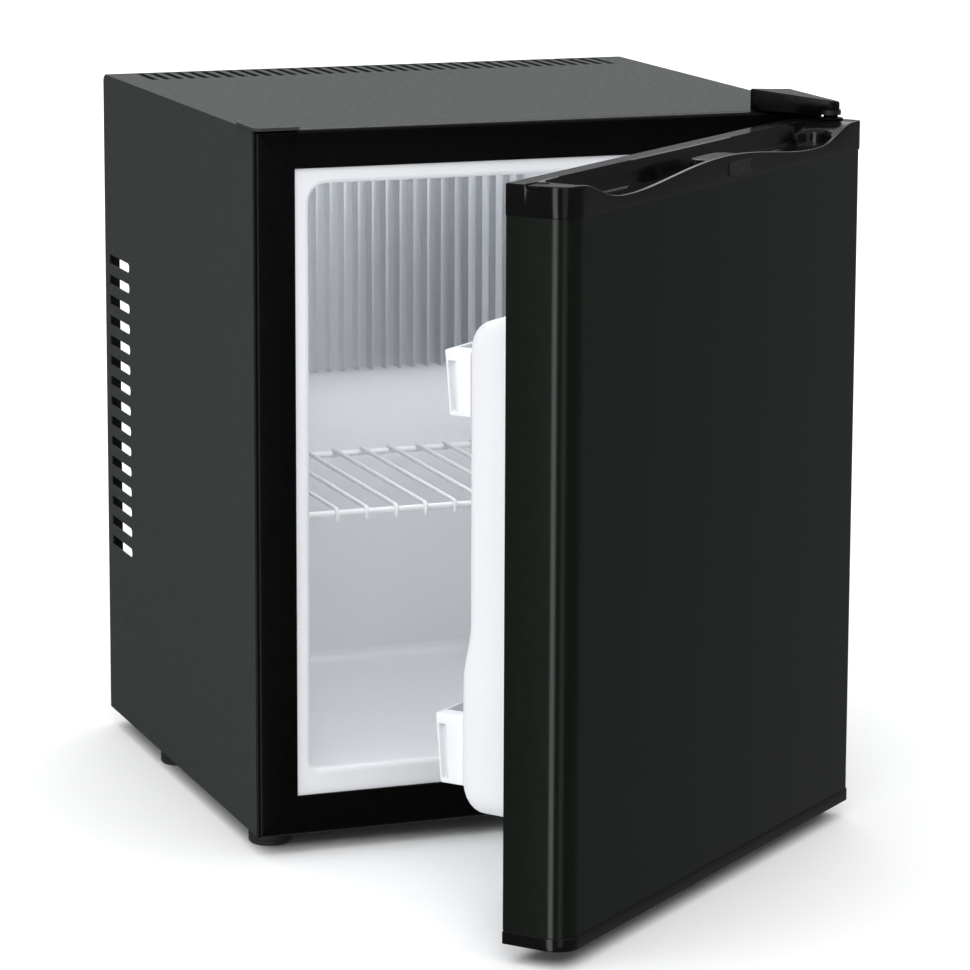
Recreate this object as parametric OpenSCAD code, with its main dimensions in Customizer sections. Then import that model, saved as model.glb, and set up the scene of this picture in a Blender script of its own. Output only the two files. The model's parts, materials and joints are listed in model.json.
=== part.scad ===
// Thermoelectric mini fridge of the 30 litre class, in millimetres.
// X runs across the front to the hinge side, Y runs to the back, Z runs up.
// The origin is on the floor, in the middle of the four feet.
// Door pieces are drawn with the door shut and then swung about the hinge.

/* [Cabinet] */
// Outside width of the cabinet
body_w = 380; // [360:5:420]
// Depth of the cabinet without its door
body_d = 348; // [345:1:380]
// Height of the cabinet without its feet
body_h = 446; // [440:1:480]
// Thickness of the steel panels
sheet_t = 1; // [0.8:0.1:1.2]
// Width of the front frame at the sides
frame_side = 25.5; // [24:0.5:28]
// Width of the front frame at the top
frame_top = 24; // [22:0.5:28]
// Width of the front frame at the bottom
frame_bottom = 25; // [24:0.5:28]

/* [Vents] */
// Number of slots in each side panel
side_slots = 15; // [5:1:15]
// Height of one side slot
side_slot_h = 6.4; // [4:0.2:8]
// Height from one side slot to the next
side_slot_pitch = 14.1; // [12:0.1:15]
// Number of slots in the top panel
top_slots = 38; // [10:1:38]
// Distance between top slots
top_slot_pitch = 9; // [8:0.5:9]

/* [Feet] */
// Height of the feet
foot_h = 12; // [10:1:20]
// Radius of a foot
foot_r = 14; // [10:1:16]
// Distance between the front and the rear feet
foot_span_y = 200; // [180:5:210]
// Distance between the left and the right feet
foot_span_x = 344; // [300:2:344]

/* [Door] */
// How far the door stands open, in degrees
door_open = 39.5; // [0:0.5:120]
// Thickness of the door without its inner liner
door_t = 43; // [40:1:46]
// Gap between the door and the cabinet front, filled by the seal
door_gap = 4; // [3.5:0.1:5]
// Height of the top cap of the door
top_cap_h = 18.5; // [17:0.5:22]
// Height of the bottom cap of the door
bottom_cap_h = 9.6; // [8:0.2:12]
// Depth of the finger pockets in the top cap
pocket_depth = 14; // [10:1:15]

/* [Inside] */
// Number of shelf ribs on each side wall
ribs = 9; // [5:1:9]
// Height from one rib to the next
rib_pitch = 19.4; // [18:0.2:20]
// Distance between the wires of the shelf
wire_pitch = 20; // [15:1:25]

/* [Hidden] */
$fn = 64;

// Cabinet planes
hx = body_w / 2;
front = -(34 + foot_span_y / 2);
back = front + body_d;
z0 = foot_h;
z1 = foot_h + body_h;
frame_d = 6;
foam_back = front + 290;

// Inner liner
liner_t = 2;
liner_x = 155;
liner_z0 = 48;
liner_z1 = 424;
liner_back = front + 262;
liner_r = 12;
rib_z0 = 160;
rib_r = 4;

// Vents
side_slot_z0 = 131;
side_slot_y0 = back - 60;
side_slot_y1 = back - 10;
flange_w = 10;

// Feet and their stems
stem_r = 4;
foot_neck = 3;

// Hinge axis, with the door shut
pin_x = hx - 8;
pin_y = front - 28;
pin_r = 4;
bush_gap = 0.05;
bush_r = 6.2;
plate_t = 3;
screw_r = 2;

// Door planes, with the door shut
door_in = front - door_gap;
door_out = door_in - door_t;
dz0 = z0 - 1;
dz1 = z1 - 3;
cap_z = dz1 - top_cap_h;
low_cap_z = dz0 + bottom_cap_h;
panel_in = 0.7;
panel_r = 9;
cap_r = 6;

// Door liner: a raised ring that carries the racks
ring_x = 145;
ring_w = 14;
ring_top = 377;
ring_end_top = 361;
ring_bottom = 69.5;
ring_y = front + 46;
ring_low_y = front + 51;
pan_y = door_in - 12;

// Finger pockets
lip_t = 2;
pocket_x0 = 24;
pocket_x1 = 170;
pocket_back = 9;
lip_low = 7.5;
lip_mid = 15.9;
lip_min_x = 118;
lip_end_x = 178;

// Cooling unit
cool_z = 330;
block_w = 60;
cell_w = 40;
sink_w = 180;
sink_z0 = 250;
sink_z1 = 430;
fan_z = 340;
fan_r = 37;
fan_y0 = back - 14;
fan_y1 = back - sheet_t;

// Inside fittings
shelf_z = 204.4;
shelf_y0 = front + 56;
shelf_y1 = front + 240;
shelf_x = 152.6;
wire_r = 1.5;
bar_r = 2.2;
knob_y = front + 80;
knob_z = 396;

module box(x0, x1, y0, y1, z_low, z_high)
  translate([x0, y0, z_low]) cube([x1 - x0, y1 - y0, z_high - z_low]);

// A rectangle with four round corners
module round_rect(x0, x1, y0, y1, r) {
  translate([x0 + r, y0]) square([x1 - x0 - 2 * r, y1 - y0]);
  translate([x0, y0 + r]) square([x1 - x0, y1 - y0 - 2 * r]);
  for (x = [x0 + r, x1 - r], y = [y0 + r, y1 - r]) translate([x, y]) circle(r = r);
}

// A rectangle with two round corners on its low Y side
module front_round_rect(x0, x1, y0, y1, r) {
  translate([x0, y0 + r]) square([x1 - x0, y1 - y0 - r]);
  translate([x0 + r, y0]) square([x1 - x0 - 2 * r, r + 1]);
  for (x = [x0 + r, x1 - r]) translate([x, y0 + r]) circle(r = r);
}

// Extrudes a shape drawn in X and Z from y0 to y1
module along_y(y0, y1)
  translate([0, y1, 0]) rotate([90, 0, 0]) linear_extrude(y1 - y0) children();

// Extrudes a shape drawn in Y and Z from -half to half
module along_x(half)
  rotate([90, 0, 90]) translate([0, 0, -half]) linear_extrude(2 * half) children();

module post(x, y, z_low, z_high, r)
  translate([x, y, z_low]) cylinder(r = r, h = z_high - z_low);

// A round bar along Y
module bar_y(x, z, y0, y1, r)
  translate([x, y0, z]) rotate([-90, 0, 0]) cylinder(r = r, h = y1 - y0);

// A round bar along X
module bar_x(y, z, x0, x1, r)
  translate([x0, y, z]) rotate([0, 90, 0]) cylinder(r = r, h = x1 - x0);

// Swings the shut door to where it stands
module in_door()
  translate([pin_x, pin_y, 0]) rotate([0, 0, door_open]) translate([-pin_x, -pin_y, 0])
    children();

// Places of the four feet, and of the hinge screws
feet = [for (x = [-1, 1], y = [-1, 1]) [x * foot_span_x / 2, y * foot_span_y / 2]];
top_screws = [[pin_x - 20, front + 12], [pin_x - 4, front + 26]];
low_screws = [[pin_x - 48, front + 12], [pin_x - 30, front + 12]];
cover_screws = [for (x = [-110, 110], z = [z0 + 9, z1 - 9]) [x, z]];

// ---- Cabinet shell ----

module front_frame() color("#15161a") difference() {
  box(-hx, hx, front, front + frame_d, z0, z1);
  box(-hx + frame_side, hx - frame_side, front - 1, front + frame_d + 1,
    z0 + frame_bottom, z1 - frame_top);
  box(-hx + 1.2, hx - 1.2, front + 2, front + frame_d + 1, z0 + 1.2, z1 - 1.2);
}

// One side panel, drawn for the left side
module side_panel() color("#3a3d3b") difference() {
  union() {
    box(-hx, -hx + sheet_t, front + frame_d, back, z0 + sheet_t, z1 - 5);
    box(-hx, -hx + sheet_t, front + frame_d, back - 4, z1 - 6, z1 - sheet_t);
    bar_x(back - 4, z1 - 5, -hx, -hx + sheet_t, 4);
    box(-hx, -hx + flange_w, back - sheet_t, back, z0 + sheet_t, z1 - 13);
  }
  for (i = [0 : side_slots - 1])
    translate([-hx - 1, side_slot_y0, side_slot_z0 + i * side_slot_pitch])
      rotate([90, 0, 90]) linear_extrude(sheet_t + 2)
        union() {
          translate([side_slot_h / 2, 0])
            square([side_slot_y1 - side_slot_y0 - side_slot_h / 2, side_slot_h]);
          translate([side_slot_h / 2, side_slot_h / 2]) circle(r = side_slot_h / 2);
        }
}

module side_panel_left() side_panel();
module side_panel_right() mirror([1, 0, 0]) side_panel();

module top_panel() color("#3d403e") difference() {
  union() {
    box(-hx, hx, front + frame_d, back - 4, z1 - sheet_t, z1);
    along_x(hx - sheet_t) difference() {
      union() {
        translate([back - 4, z1 - 4]) circle(r = 4);
        translate([back - 4, z1 - 12]) square([4, 8]);
      }
      translate([back - 4, z1 - 4]) circle(r = 4 - sheet_t);
      translate([back - 9, z1 - 13]) square([9 - sheet_t, 9]);
      translate([back - 9, z1 - 9]) square([5, 9 - sheet_t]);
    }
  }
  for (i = [0 : top_slots - 1]) let (x = (i - (top_slots - 1) / 2) * top_slot_pitch)
    box(x - 1.3, x + 1.3, back - 48, back - 8, z1 - 2, z1 + 1);
  for (p = top_screws, side = [-1, 1]) post(side * p[0], p[1], z1 - 2, z1 + 1, screw_r + 0.1);
  for (p = cover_screws) bar_y(p[0], p[1], back - 2, back + 1, 1.6);
}

module base_panel() color("#3a3d3b") difference() {
  union() {
    box(-hx, hx, front + frame_d, back, z0, z0 + sheet_t);
    box(-hx + flange_w + 1, hx - flange_w - 1, back - sheet_t, back, z0, z0 + 12);
  }
  for (p = feet) post(p[0], p[1], z0 - 1, z0 + 2, stem_r + 0.1);
  for (p = low_screws, side = [-1, 1]) post(side * p[0], p[1], z0 - 1, z0 + 2, screw_r + 0.1);
  for (i = [-8 : 8]) box(i * 18 - 5, i * 18 + 5, back - 48, back - 12, z0 - 1, z0 + 2);
  for (p = cover_screws) bar_y(p[0], p[1], back - 2, back + 1, 1.6);
}

module back_plate() color("#8d9092") difference() {
  box(-hx + 1.2, hx - 1.2, foam_back, foam_back + sheet_t, z0 + 1.2, z1 - 1.2);
  box(-block_w / 2 - 5, block_w / 2 + 5, foam_back - 1, foam_back + 2,
    cool_z - block_w / 2 - 5, cool_z + block_w / 2 + 5);
}

cover_x = 128;
cover_z0 = z0 + 13;
cover_z1 = z1 - 13;
inlet_x = 60;
inlet_z = 66;

// Louvred sheet over the cooling unit, with a round fan grille and a window for the inlet
module rear_cover() color("#202224") difference() {
  union() {
    box(-cover_x, cover_x, back - 1, back, cover_z0, cover_z1);
    box(-cover_x, cover_x, back - 2, back - 1, cover_z0 - 6, cover_z0 + 8);
    box(-cover_x, cover_x, back - 2, back - 1, cover_z1 - 8, cover_z1 + 7);
  }
  for (side = [-1, 1], i = [0 : 11])
    box(side * 86 - 30, side * 86 + 30, back - 3, back + 1, 140 + i * 24, 146 + i * 24);
  for (r = [9 : 7 : 30])
    translate([0, back + 1, fan_z]) rotate([90, 0, 0]) difference() {
      cylinder(r = r + 5, h = 3);
      translate([0, 0, -1]) cylinder(r = r, h = 5);
      for (a = [0, 60, 120]) rotate([0, 0, a]) translate([-2, -40, -1]) cube([4, 80, 5]);
    }
  box(inlet_x - 24.5, inlet_x + 24.5, back - 3, back + 1, inlet_z - 12.5, inlet_z + 12.5);
  for (p = cover_screws) bar_y(p[0], p[1], back - 4, back + 2, 1.6);
}

module rear_cover_screws() color("silver") for (p = cover_screws) {
  bar_y(p[0], p[1], back - 5, back, 1.5);
  bar_y(p[0], p[1], back, back + 1.8, 3.2);
}

module cabinet_foam() color("#d8cfa8") difference() {
  box(-hx + 1.2, hx - 1.2, front + 4, foam_back, z0 + 1.2, z1 - 1.2);
  box(-liner_x - liner_t, liner_x + liner_t, front, liner_back + liner_t,
    liner_z0 - liner_t, liner_z1 + liner_t);
  box(-block_w / 2 - 1, block_w / 2 + 1, liner_back, foam_back + 1,
    cool_z - block_w / 2 - 1, cool_z + block_w / 2 + 1);
  for (p = feet) post(p[0], p[1], z0, z0 + 8, stem_r + 2.5);
  for (p = top_screws, side = [-1, 1]) post(side * p[0], p[1], z1 - 16, z1, screw_r + 0.3);
  for (p = low_screws) post(p[0], p[1], z0, z0 + 12, screw_r + 0.3);
}

// ---- Inner liner ----

module liner_outline(grow)
  round_rect(-liner_x - grow, liner_x + grow, liner_z0 - grow, liner_z1 + grow,
    liner_r + grow);

// White food-safe tub with shelf ribs, and a flange behind the front frame
module inner_liner() color("white") difference() {
  union() {
    along_y(front + 2, front + 4) difference() {
      translate([-172, z0 + 19]) square([344, body_h - 37]);
      liner_outline(0);
    }
    along_y(front + 4, liner_back) difference() {
      liner_outline(liner_t);
      liner_outline(0);
    }
    along_y(liner_back, liner_back + liner_t) liner_outline(liner_t);
    for (side = [-1, 1], i = [0 : ribs - 1]) intersection() {
      bar_y(side * liner_x, rib_z0 + i * rib_pitch, front + 34, liner_back, rib_r);
      box(-liner_x, liner_x, front, back, 0, z1);
    }
  }
  box(-block_w / 2, block_w / 2, liner_back - 1, liner_back + 3,
    cool_z - block_w / 2, cool_z + block_w / 2);
}

// ---- Feet ----

// Rubber foot with a stem that pushes through the base panel
module foot(i) color("#1a1a1a") {
  post(feet[i][0], feet[i][1], 0, foot_h - foot_neck, foot_r);
  post(feet[i][0], feet[i][1], foot_h - foot_neck, foot_h, foot_r - 2);
  post(feet[i][0], feet[i][1], foot_h, foot_h + 5, stem_r);
}

module foot_front_left() foot(0);
module foot_rear_left() foot(1);
module foot_front_right() foot(2);
module foot_rear_right() foot(3);

// ---- Hinges ----

// Plate over the unused hinge holes, held by two stems
module hinge_hole_cover() color("#3d403e") {
  translate([0, 0, z1]) linear_extrude(2)
    polygon([[-hx - 1, front + 36], [-hx - 1, front + 3], [-hx + 3, front - 1],
      [-hx + 28, front - 1], [-hx + 28, front + 36]]);
  for (p = top_screws) post(-p[0], p[1], z1 - 8, z1, screw_r - 0.1);
}

arm_r = 6.5;

// Arm of a hinge plate, seen from above
module hinge_arm(length) {
  translate([pin_x, pin_y]) circle(r = arm_r);
  translate([pin_x - arm_r, pin_y + 1]) square([2 * arm_r, length - 1]);
}

module upper_hinge_bracket() color("silver") difference() {
  union() {
    translate([0, 0, z1]) linear_extrude(plate_t) hinge_arm(40);
    translate([0, 0, z1]) linear_extrude(plate_t)
      polygon([[pin_x - 30, front + 10], [pin_x + 4.5, front + 38], [pin_x + 6, front + 38],
        [pin_x + 6, front + 2], [pin_x - 25, front + 2]]);
  }
  for (p = top_screws) post(p[0], p[1], z1 - 1, z1 + plate_t + 1, screw_r + 0.1);
  post(pin_x, pin_y, z1 - 1, z1 + plate_t + 1, pin_r);
}

module upper_hinge_pin() color("silver") post(pin_x, pin_y, dz1 - 14, z1 + plate_t, pin_r);

module upper_hinge_screws() color("silver") for (p = top_screws) {
  post(p[0], p[1], z1 - 14, z1 + plate_t, screw_r);
  post(p[0], p[1], z1 + plate_t, z1 + plate_t + 2, 3.8);
}

cover_left_h = 13.5;
cover_right_h = 8;
cover_r = 8;
cover_left = [pin_x - 37, front + 8];
cover_back = [hx, front + 46];
cover_wall = 1.2;

// Point where a line from p touches the hinge boss of radius r, on its front side
function boss_touch(p, r) = let (d = [pin_x, pin_y] - p,
  a = atan2(d[1], d[0]) - asin(r / norm(d)),
  run = sqrt(norm(d) * norm(d) - r * r)) p + run * [cos(a), sin(a)];

// Block with the outline of the hinge cover, seen from above
module cover_block(left, rear, r, z_low, h) {
  translate([0, 0, z_low]) linear_extrude(h)
    polygon([left, rear, [rear[0], pin_y + 1], [pin_x + 1, pin_y - 2],
      boss_touch(left, r - 0.04)]);
  post(pin_x, pin_y, z_low, z_low + h, r);
}

// Black cover over the upper hinge, lower towards the hinge side
module hinge_cover() color("#121212") difference() {
  intersection() {
    cover_block(cover_left, cover_back, cover_r, z1, 20);
    translate([cover_left[0], front - 60, z1 + cover_left_h])
      rotate([0, atan((cover_left_h - cover_right_h) / (hx - cover_left[0])), 0])
        translate([-20, 0, -40]) cube([90, 130, 40]);
  }
  cover_block(cover_left + [3.6, -0.1], cover_back - [cover_wall, 3], cover_r - cover_wall,
    z1 - 1, plate_t + 4.1);
}

module lower_hinge_bracket() color("silver") difference() {
  union() {
    translate([0, 0, z0 - 5]) linear_extrude(plate_t) hinge_arm(36);
    box(pin_x - 56, hx - 1, front + 5, front + 18, z0 - plate_t, z0);
    box(pin_x - arm_r, pin_x + arm_r, front + 5, front + 8, z0 - 5, z0);
  }
  for (p = low_screws) post(p[0], p[1], z0 - 6, z0 + 1, screw_r + 0.1);
  post(pin_x, pin_y, z0 - 6, z0, pin_r);
}

module lower_hinge_pin() color("silver") post(pin_x, pin_y, z0 - 5, dz0 + 12, pin_r);

module lower_hinge_screws() color("silver") for (p = low_screws) {
  post(p[0], p[1], z0 - plate_t, z0 + 8, screw_r);
  post(p[0], p[1], z0 - plate_t - 2, z0 - plate_t, 3.8);
}

module hinge_washer() color("white") difference() {
  post(pin_x, pin_y, z0 - 2, z0 - 1.2, 7);
  post(pin_x, pin_y, z0 - 3, z0, pin_r);
}

// ---- Cooling unit ----

// Finned plate that chills the inside
module cold_sink() color("#c9ccd0") {
  box(-85, 85, liner_back - 4, liner_back, cool_z - 70, cool_z + 80);
  for (i = [-8 : 8])
    box(i * 10 - 0.8, i * 10 + 0.8, liner_back - 16, liner_back - 4, cool_z - 70, cool_z + 80);
}

module cold_block() color("#b8bbbe")
  box(-block_w / 2 + 1, block_w / 2 - 1, liner_back, foam_back - 4,
    cool_z - block_w / 2 + 1, cool_z + block_w / 2 - 1);

module peltier_module() color("#f2f2ee")
  box(-cell_w / 2, cell_w / 2, foam_back - 4, foam_back,
    cool_z - cell_w / 2, cool_z + cell_w / 2);

fin_pitch = 7.4;
sink_screw_x = 10.5 * fin_pitch;

// Large finned block that gives off the heat at the back
module hot_sink() color("#a9acb0") difference() {
  union() {
    box(-block_w / 2 - 3, block_w / 2 + 3, foam_back, foam_back + 8,
      cool_z - block_w / 2 - 3, cool_z + block_w / 2 + 3);
    box(-sink_w / 2, sink_w / 2, foam_back + 8, foam_back + 13, sink_z0, sink_z1);
    for (i = [-12 : 12])
      box(i * fin_pitch - 0.7, i * fin_pitch + 0.7, foam_back + 13, fan_y0 - 0.5, sink_z0, sink_z1);
  }
  for (sx = [-1, 1], z = [sink_z0 + 12, sink_z1 - 12])
    bar_y(sx * sink_screw_x, z, foam_back, foam_back + 14, 2.1);
}

module sink_screws() color("silver")
  for (sx = [-1, 1], z = [sink_z0 + 12, sink_z1 - 12]) {
    bar_y(sx * sink_screw_x, z, foam_back + 1, foam_back + 13, 2);
    bar_y(sx * sink_screw_x, z, foam_back + 13, foam_back + 15, 2.9);
  }

module fan_frame() color("#1c1c1e") difference() {
  union() {
    difference() {
      box(-40, 40, fan_y0, fan_y1, fan_z - 40, fan_z + 40);
      bar_y(0, fan_z, fan_y0 - 1, fan_y1 + 1, fan_r);
    }
    bar_y(0, fan_z, fan_y0, fan_y0 + 2, 12);
    for (a = [45 : 90 : 315]) translate([0, fan_y0, fan_z]) rotate([0, a, 0])
      translate([10, 0, -2]) cube([28.5, 2, 4]);
  }
  for (sx = [-1, 1], sz = [-1, 1])
    bar_y(sx * 35.5, fan_z + sz * 35.5, fan_y0 - 1, fan_y1 + 1, 2.2);
  bar_y(0, fan_z, fan_y0 - 1, fan_y0 + 3, 1.5 + bush_gap);
}

// Seven blades on a hub that turns on a thin shaft
module fan_rotor() color("#26262a") translate([0, fan_y0, fan_z]) rotate([-90, 0, 0]) {
  translate([0, 0, 0.3]) cylinder(r = 1.5, h = 3);
  translate([0, 0, 2.5]) cylinder(r = 14, h = 8);
  intersection() {
    union() {
      for (i = [0 : 6]) rotate([0, 0, i * 360 / 7]) translate([12, 0, 6.5])
        rotate([35, 0, 0]) translate([0, -7.5, -0.7]) cube([30, 15, 1.4]);
    }
    translate([0, 0, 2.2]) difference() {
      cylinder(r = 35.5, h = 8.8);
      translate([0, 0, -1]) cylinder(r = 13, h = 12);
    }
  }
}

ctrl_y0 = foam_back + 1;
ctrl_y1 = back - 6;

// Power supply and control electronics in a plastic box
module control_box() color("#2a2b2e") difference() {
  box(-95, 95, ctrl_y0, ctrl_y1, z0 + 22, z0 + 92);
  box(-93, 93, ctrl_y0 + 2, ctrl_y1 - 2, z0 + 24, z0 + 90);
  box(inlet_x - 14, inlet_x + 14, ctrl_y1 - 5, ctrl_y1 + 1, inlet_z - 10.5, inlet_z + 10.5);
}

// Mains inlet: a flanged socket with a shaped recess
module power_inlet() color("#0e0e10") difference() {
  union() {
    box(inlet_x - 24, inlet_x + 24, ctrl_y1, ctrl_y1 + 3, inlet_z - 12, inlet_z + 12);
    box(inlet_x - 13.9, inlet_x + 13.9, ctrl_y1 - 20, ctrl_y1, inlet_z - 10.4, inlet_z + 10.4);
  }
  along_y(ctrl_y1 - 17, ctrl_y1 + 4) translate([inlet_x, inlet_z])
    polygon([[-12.2, -8.4], [12.2, -8.4], [12.2, 3.4], [7.2, 8.4], [-7.2, 8.4], [-12.2, 3.4]]);
  for (sx = [-20, 20]) bar_y(inlet_x + sx, inlet_z, ctrl_y1 - 1, ctrl_y1 + 4, 1.7);
}

module inlet_contacts() color("#c9a35a")
  for (p = [[-7, -2], [7, -2], [0, 3]])
    box(inlet_x + p[0] - 1, inlet_x + p[0] + 1, ctrl_y1 - 17, ctrl_y1 - 3,
      inlet_z + p[1] - 2, inlet_z + p[1] + 2);

// Routes of the insulated leads: from the control box to the fan, and to the cell
lead_paths = [
  [[-60, back - 12, 104], [-60, back - 12, 112], [-120, back - 20, 132], [-166, back - 28, 160],
    [-168, back - 28, 240], [-166, back - 24, 310], [-130, back - 12, 336], [-96, back - 8, 338],
    [-40, back - 8, 338]],
  [[-70, back - 18, 104], [-70, back - 18, 116], [-130, back - 26, 126], [-172, back - 34, 178],
    [-173, back - 40, 250], [-160, back - 50, 300], [-120, back - 53.5, 316],
    [-33, back - 53.5, 318]]];
lead_r = 1.6;
lead_sides = 8;
lead_steps = 4;

// Point at t from 0 to 1 between the points i and i + 1, on a smooth curve through the route
function curve_point(path, i, t) = let (n = len(path) - 1, a = path[max(i - 1, 0)], b = path[i],
  c = path[min(i + 1, n)], d = path[min(i + 2, n)])
  0.5 * (2 * b + (c - a) * t + (2 * a - 5 * b + 4 * c - d) * t * t
    + (3 * b - a - 3 * c + d) * t * t * t);

function curve(path) = [for (i = [0 : len(path) - 2], k = [0 : lead_steps - 1])
  curve_point(path, i, k / lead_steps), path[len(path) - 1]];

// A round tube along a route, as one closed surface of rings
module tube(path, r, sides) {
  n = len(path);
  rings = [for (i = [0 : n - 1]) let (t = path[min(i + 1, n - 1)] - path[max(i - 1, 0)],
    along = t / norm(t), u = cross([0, 1, 0], along) / norm(cross([0, 1, 0], along)),
    v = cross(along, u)) for (j = [0 : sides - 1])
      path[i] + r * (cos(360 * j / sides) * u + sin(360 * j / sides) * v)];
  walls = [for (i = [0 : n - 2], j = [0 : sides - 1]) let (k = (j + 1) % sides)
    [i * sides + j, (i + 1) * sides + j, (i + 1) * sides + k, i * sides + k]];
  ends = [[for (j = [0 : sides - 1]) j], [for (j = [sides - 1 : -1 : 0]) (n - 1) * sides + j]];
  polyhedron(points = rings, faces = concat(walls, ends));
}

module leads() color("#202020")
  for (path = lead_paths) tube(curve(path), lead_r, lead_sides);

// ---- Inside fittings ----

module lamp_housing() color("#f4f4f2") difference() {
  box(131, liner_x, front + 62, front + 140, knob_z - 14, knob_z + 14);
  bar_x(knob_y, knob_z, 130, 140, 3 + bush_gap);
  box(130, 137, front + 100, front + 134, knob_z - 9, knob_z + 9);
}

module lamp_lens() color("#f7f3df")
  box(130.5, 137, front + 100, front + 134, knob_z - 9, knob_z + 9);

module thermostat_knob() color("#e6e6e4") {
  bar_x(knob_y, knob_z, 123, 130.6, 11);
  bar_x(knob_y, knob_z, 130, 139, 3);
  box(121.8, 123.5, knob_y - 1.5, knob_y + 1.5, knob_z - 10, knob_z + 10);
}

wires = floor(2 * shelf_x / wire_pitch) - 1;

// Coated wire shelf: two bars, two side wires and a row of wires with turned-down ends
module wire_shelf() color("white") {
  for (y = [shelf_y0, shelf_y1]) bar_x(y, shelf_z, -shelf_x + 1, shelf_x - 1, bar_r);
  for (i = [0 : wires]) let (x = (i - wires / 2) * wire_pitch) {
    bar_y(x, shelf_z + bar_r + 0.6, shelf_y0, shelf_y1, wire_r);
    for (y = [shelf_y0, shelf_y1]) translate([x, y, shelf_z + bar_r + 0.6]) sphere(r = wire_r);
  }
  for (side = [-1, 1]) bar_y(side * shelf_x, shelf_z, shelf_y0 - 1, shelf_y1 + 1, wire_r + 0.3);
}

// ---- Door ----

module door_panel() color("#1b1d1a") in_door()
  translate([0, 0, low_cap_z]) linear_extrude(cap_z - low_cap_z) difference() {
    front_round_rect(-hx + panel_in, hx - panel_in, door_out + panel_in, door_in, panel_r);
    front_round_rect(-hx + panel_in + sheet_t, hx - panel_in - sheet_t,
      door_out + panel_in + sheet_t, door_in + 1, panel_r - sheet_t);
  }

function ease(t) = (1 - cos(180 * t)) / 2;

// Height of the wavy lip above the bottom of the cap, at x from the middle
function lip_height(x) = let (a = abs(x))
  a >= lip_end_x ? top_cap_h
  : a >= lip_min_x ? lip_low
      + (top_cap_h - lip_low) * ease(pow((a - lip_min_x) / (lip_end_x - lip_min_x), 1.5))
  : lip_low + (lip_mid - lip_low) * ease(pow((lip_min_x - a) / lip_min_x, 0.9));

// Top cap with two finger pockets behind a wavy front lip
module door_top_cap() color("#101010") in_door() difference() {
  translate([0, 0, cap_z]) linear_extrude(top_cap_h)
    front_round_rect(-hx, hx, door_out, door_in, cap_r);
  for (side = [-1, 1]) translate([0, 0, dz1 - pocket_depth]) linear_extrude(20)
    round_rect(side < 0 ? -pocket_x1 : pocket_x0, side < 0 ? -pocket_x0 : pocket_x1,
      door_out + lip_t, door_in - pocket_back, 10);
  along_y(door_out - 1, door_out + lip_t + 0.01) polygon([
    for (x = [-lip_end_x : 4 : lip_end_x]) [x, cap_z + lip_height(x)],
    [lip_end_x, dz1 + 1], [-lip_end_x, dz1 + 1]]);
  post(pin_x, pin_y, dz1 - 15, dz1 + 1, bush_r);
  translate([0, 0, dz1 - 6]) linear_extrude(7) plug_outline(0);
}

// Outline of the plug in the unused hinge notch
module plug_outline(inset) {
  translate([-pin_x, pin_y]) circle(r = 4.5 - inset);
  translate([-hx - 1 + inset, pin_y - 4.5 + inset]) square([9, 9 - 2 * inset]);
}

module hinge_hole_plug() color("#0a0a0a") in_door() intersection() {
  translate([0, 0, dz1 - 6]) linear_extrude(5.4) plug_outline(0);
  box(-hx + 0.3, 0, door_out, door_in, 0, z1);
}

module door_bottom_cap() color("#101010") in_door() difference() {
  translate([0, 0, dz0]) linear_extrude(bottom_cap_h)
    front_round_rect(-hx, hx, door_out, door_in, cap_r);
  post(pin_x, pin_y, dz0 - 1, low_cap_z + 1, bush_r);
}

module badge_plate() color("#2a2c2c") in_door()
  along_y(door_out - 0.9, door_out)
    round_rect(-4, 35, cap_z + 1.2, cap_z + 13.4, 3.5);

module upper_door_bush() color("#1a1a1a") in_door() difference() {
  union() {
    post(pin_x, pin_y, dz1 - 15, dz1, bush_r);
    post(pin_x, pin_y, dz1, dz1 + 1, 7.8);
  }
  post(pin_x, pin_y, dz1 - 16, dz1 + 2, pin_r + bush_gap);
}

module lower_door_bush() color("#1a1a1a") in_door() difference() {
  post(pin_x, pin_y, dz0, dz0 + 13, bush_r);
  post(pin_x, pin_y, dz0 - 1, dz0 + 14, pin_r + bush_gap);
}

// Side outline of the raised ring, drawn in Y and Z: deeper towards the bottom
module ring_profile(inset) {
  polygon([[door_in - 2, ring_top - inset], [ring_y - inset, ring_end_top - inset * 1.3],
    [ring_y - inset, 185], [ring_low_y - inset, 150], [ring_low_y - inset, ring_bottom + 12],
    [ring_low_y - 12, ring_bottom + 12], [ring_low_y - 12, ring_bottom + inset],
    [door_in - 2, ring_bottom + inset]]);
  translate([ring_low_y - 12, ring_bottom + 12]) circle(r = 12 - inset);
}

// The raised ring as a plug that narrows a little towards the cabinet
module ring_block(inset) intersection() {
  along_x(ring_x + 4) ring_profile(inset);
  translate([0, 0, -1]) linear_extrude(z1)
    polygon([[-ring_x - 4 + inset, door_in - 3], [-ring_x + inset, ring_low_y],
      [ring_x - inset, ring_low_y], [ring_x + 4 - inset, door_in - 3]]);
}

// Dished middle of the door liner
module pan(grow) box(-ring_x + ring_w - grow, ring_x - ring_w + grow, pan_y - grow,
  ring_low_y + 1, ring_bottom + ring_w - grow, ring_end_top - ring_w + grow);

// White door liner: a flat rim, the raised ring and the dished middle
module door_liner() color("white") in_door() difference() {
  union() {
    difference() {
      union() {
        box(-hx + 4, hx - 4, door_in - 2, door_in, low_cap_z + 0.5, cap_z - 0.5);
        ring_block(0);
      }
      ring_block(liner_t);
    }
    intersection() {
      pan(liner_t);
      union() {
        ring_block(0);
        box(-hx, hx, door_out, door_in, z0, z1);
      }
    }
  }
  pan(0);
}

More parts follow.
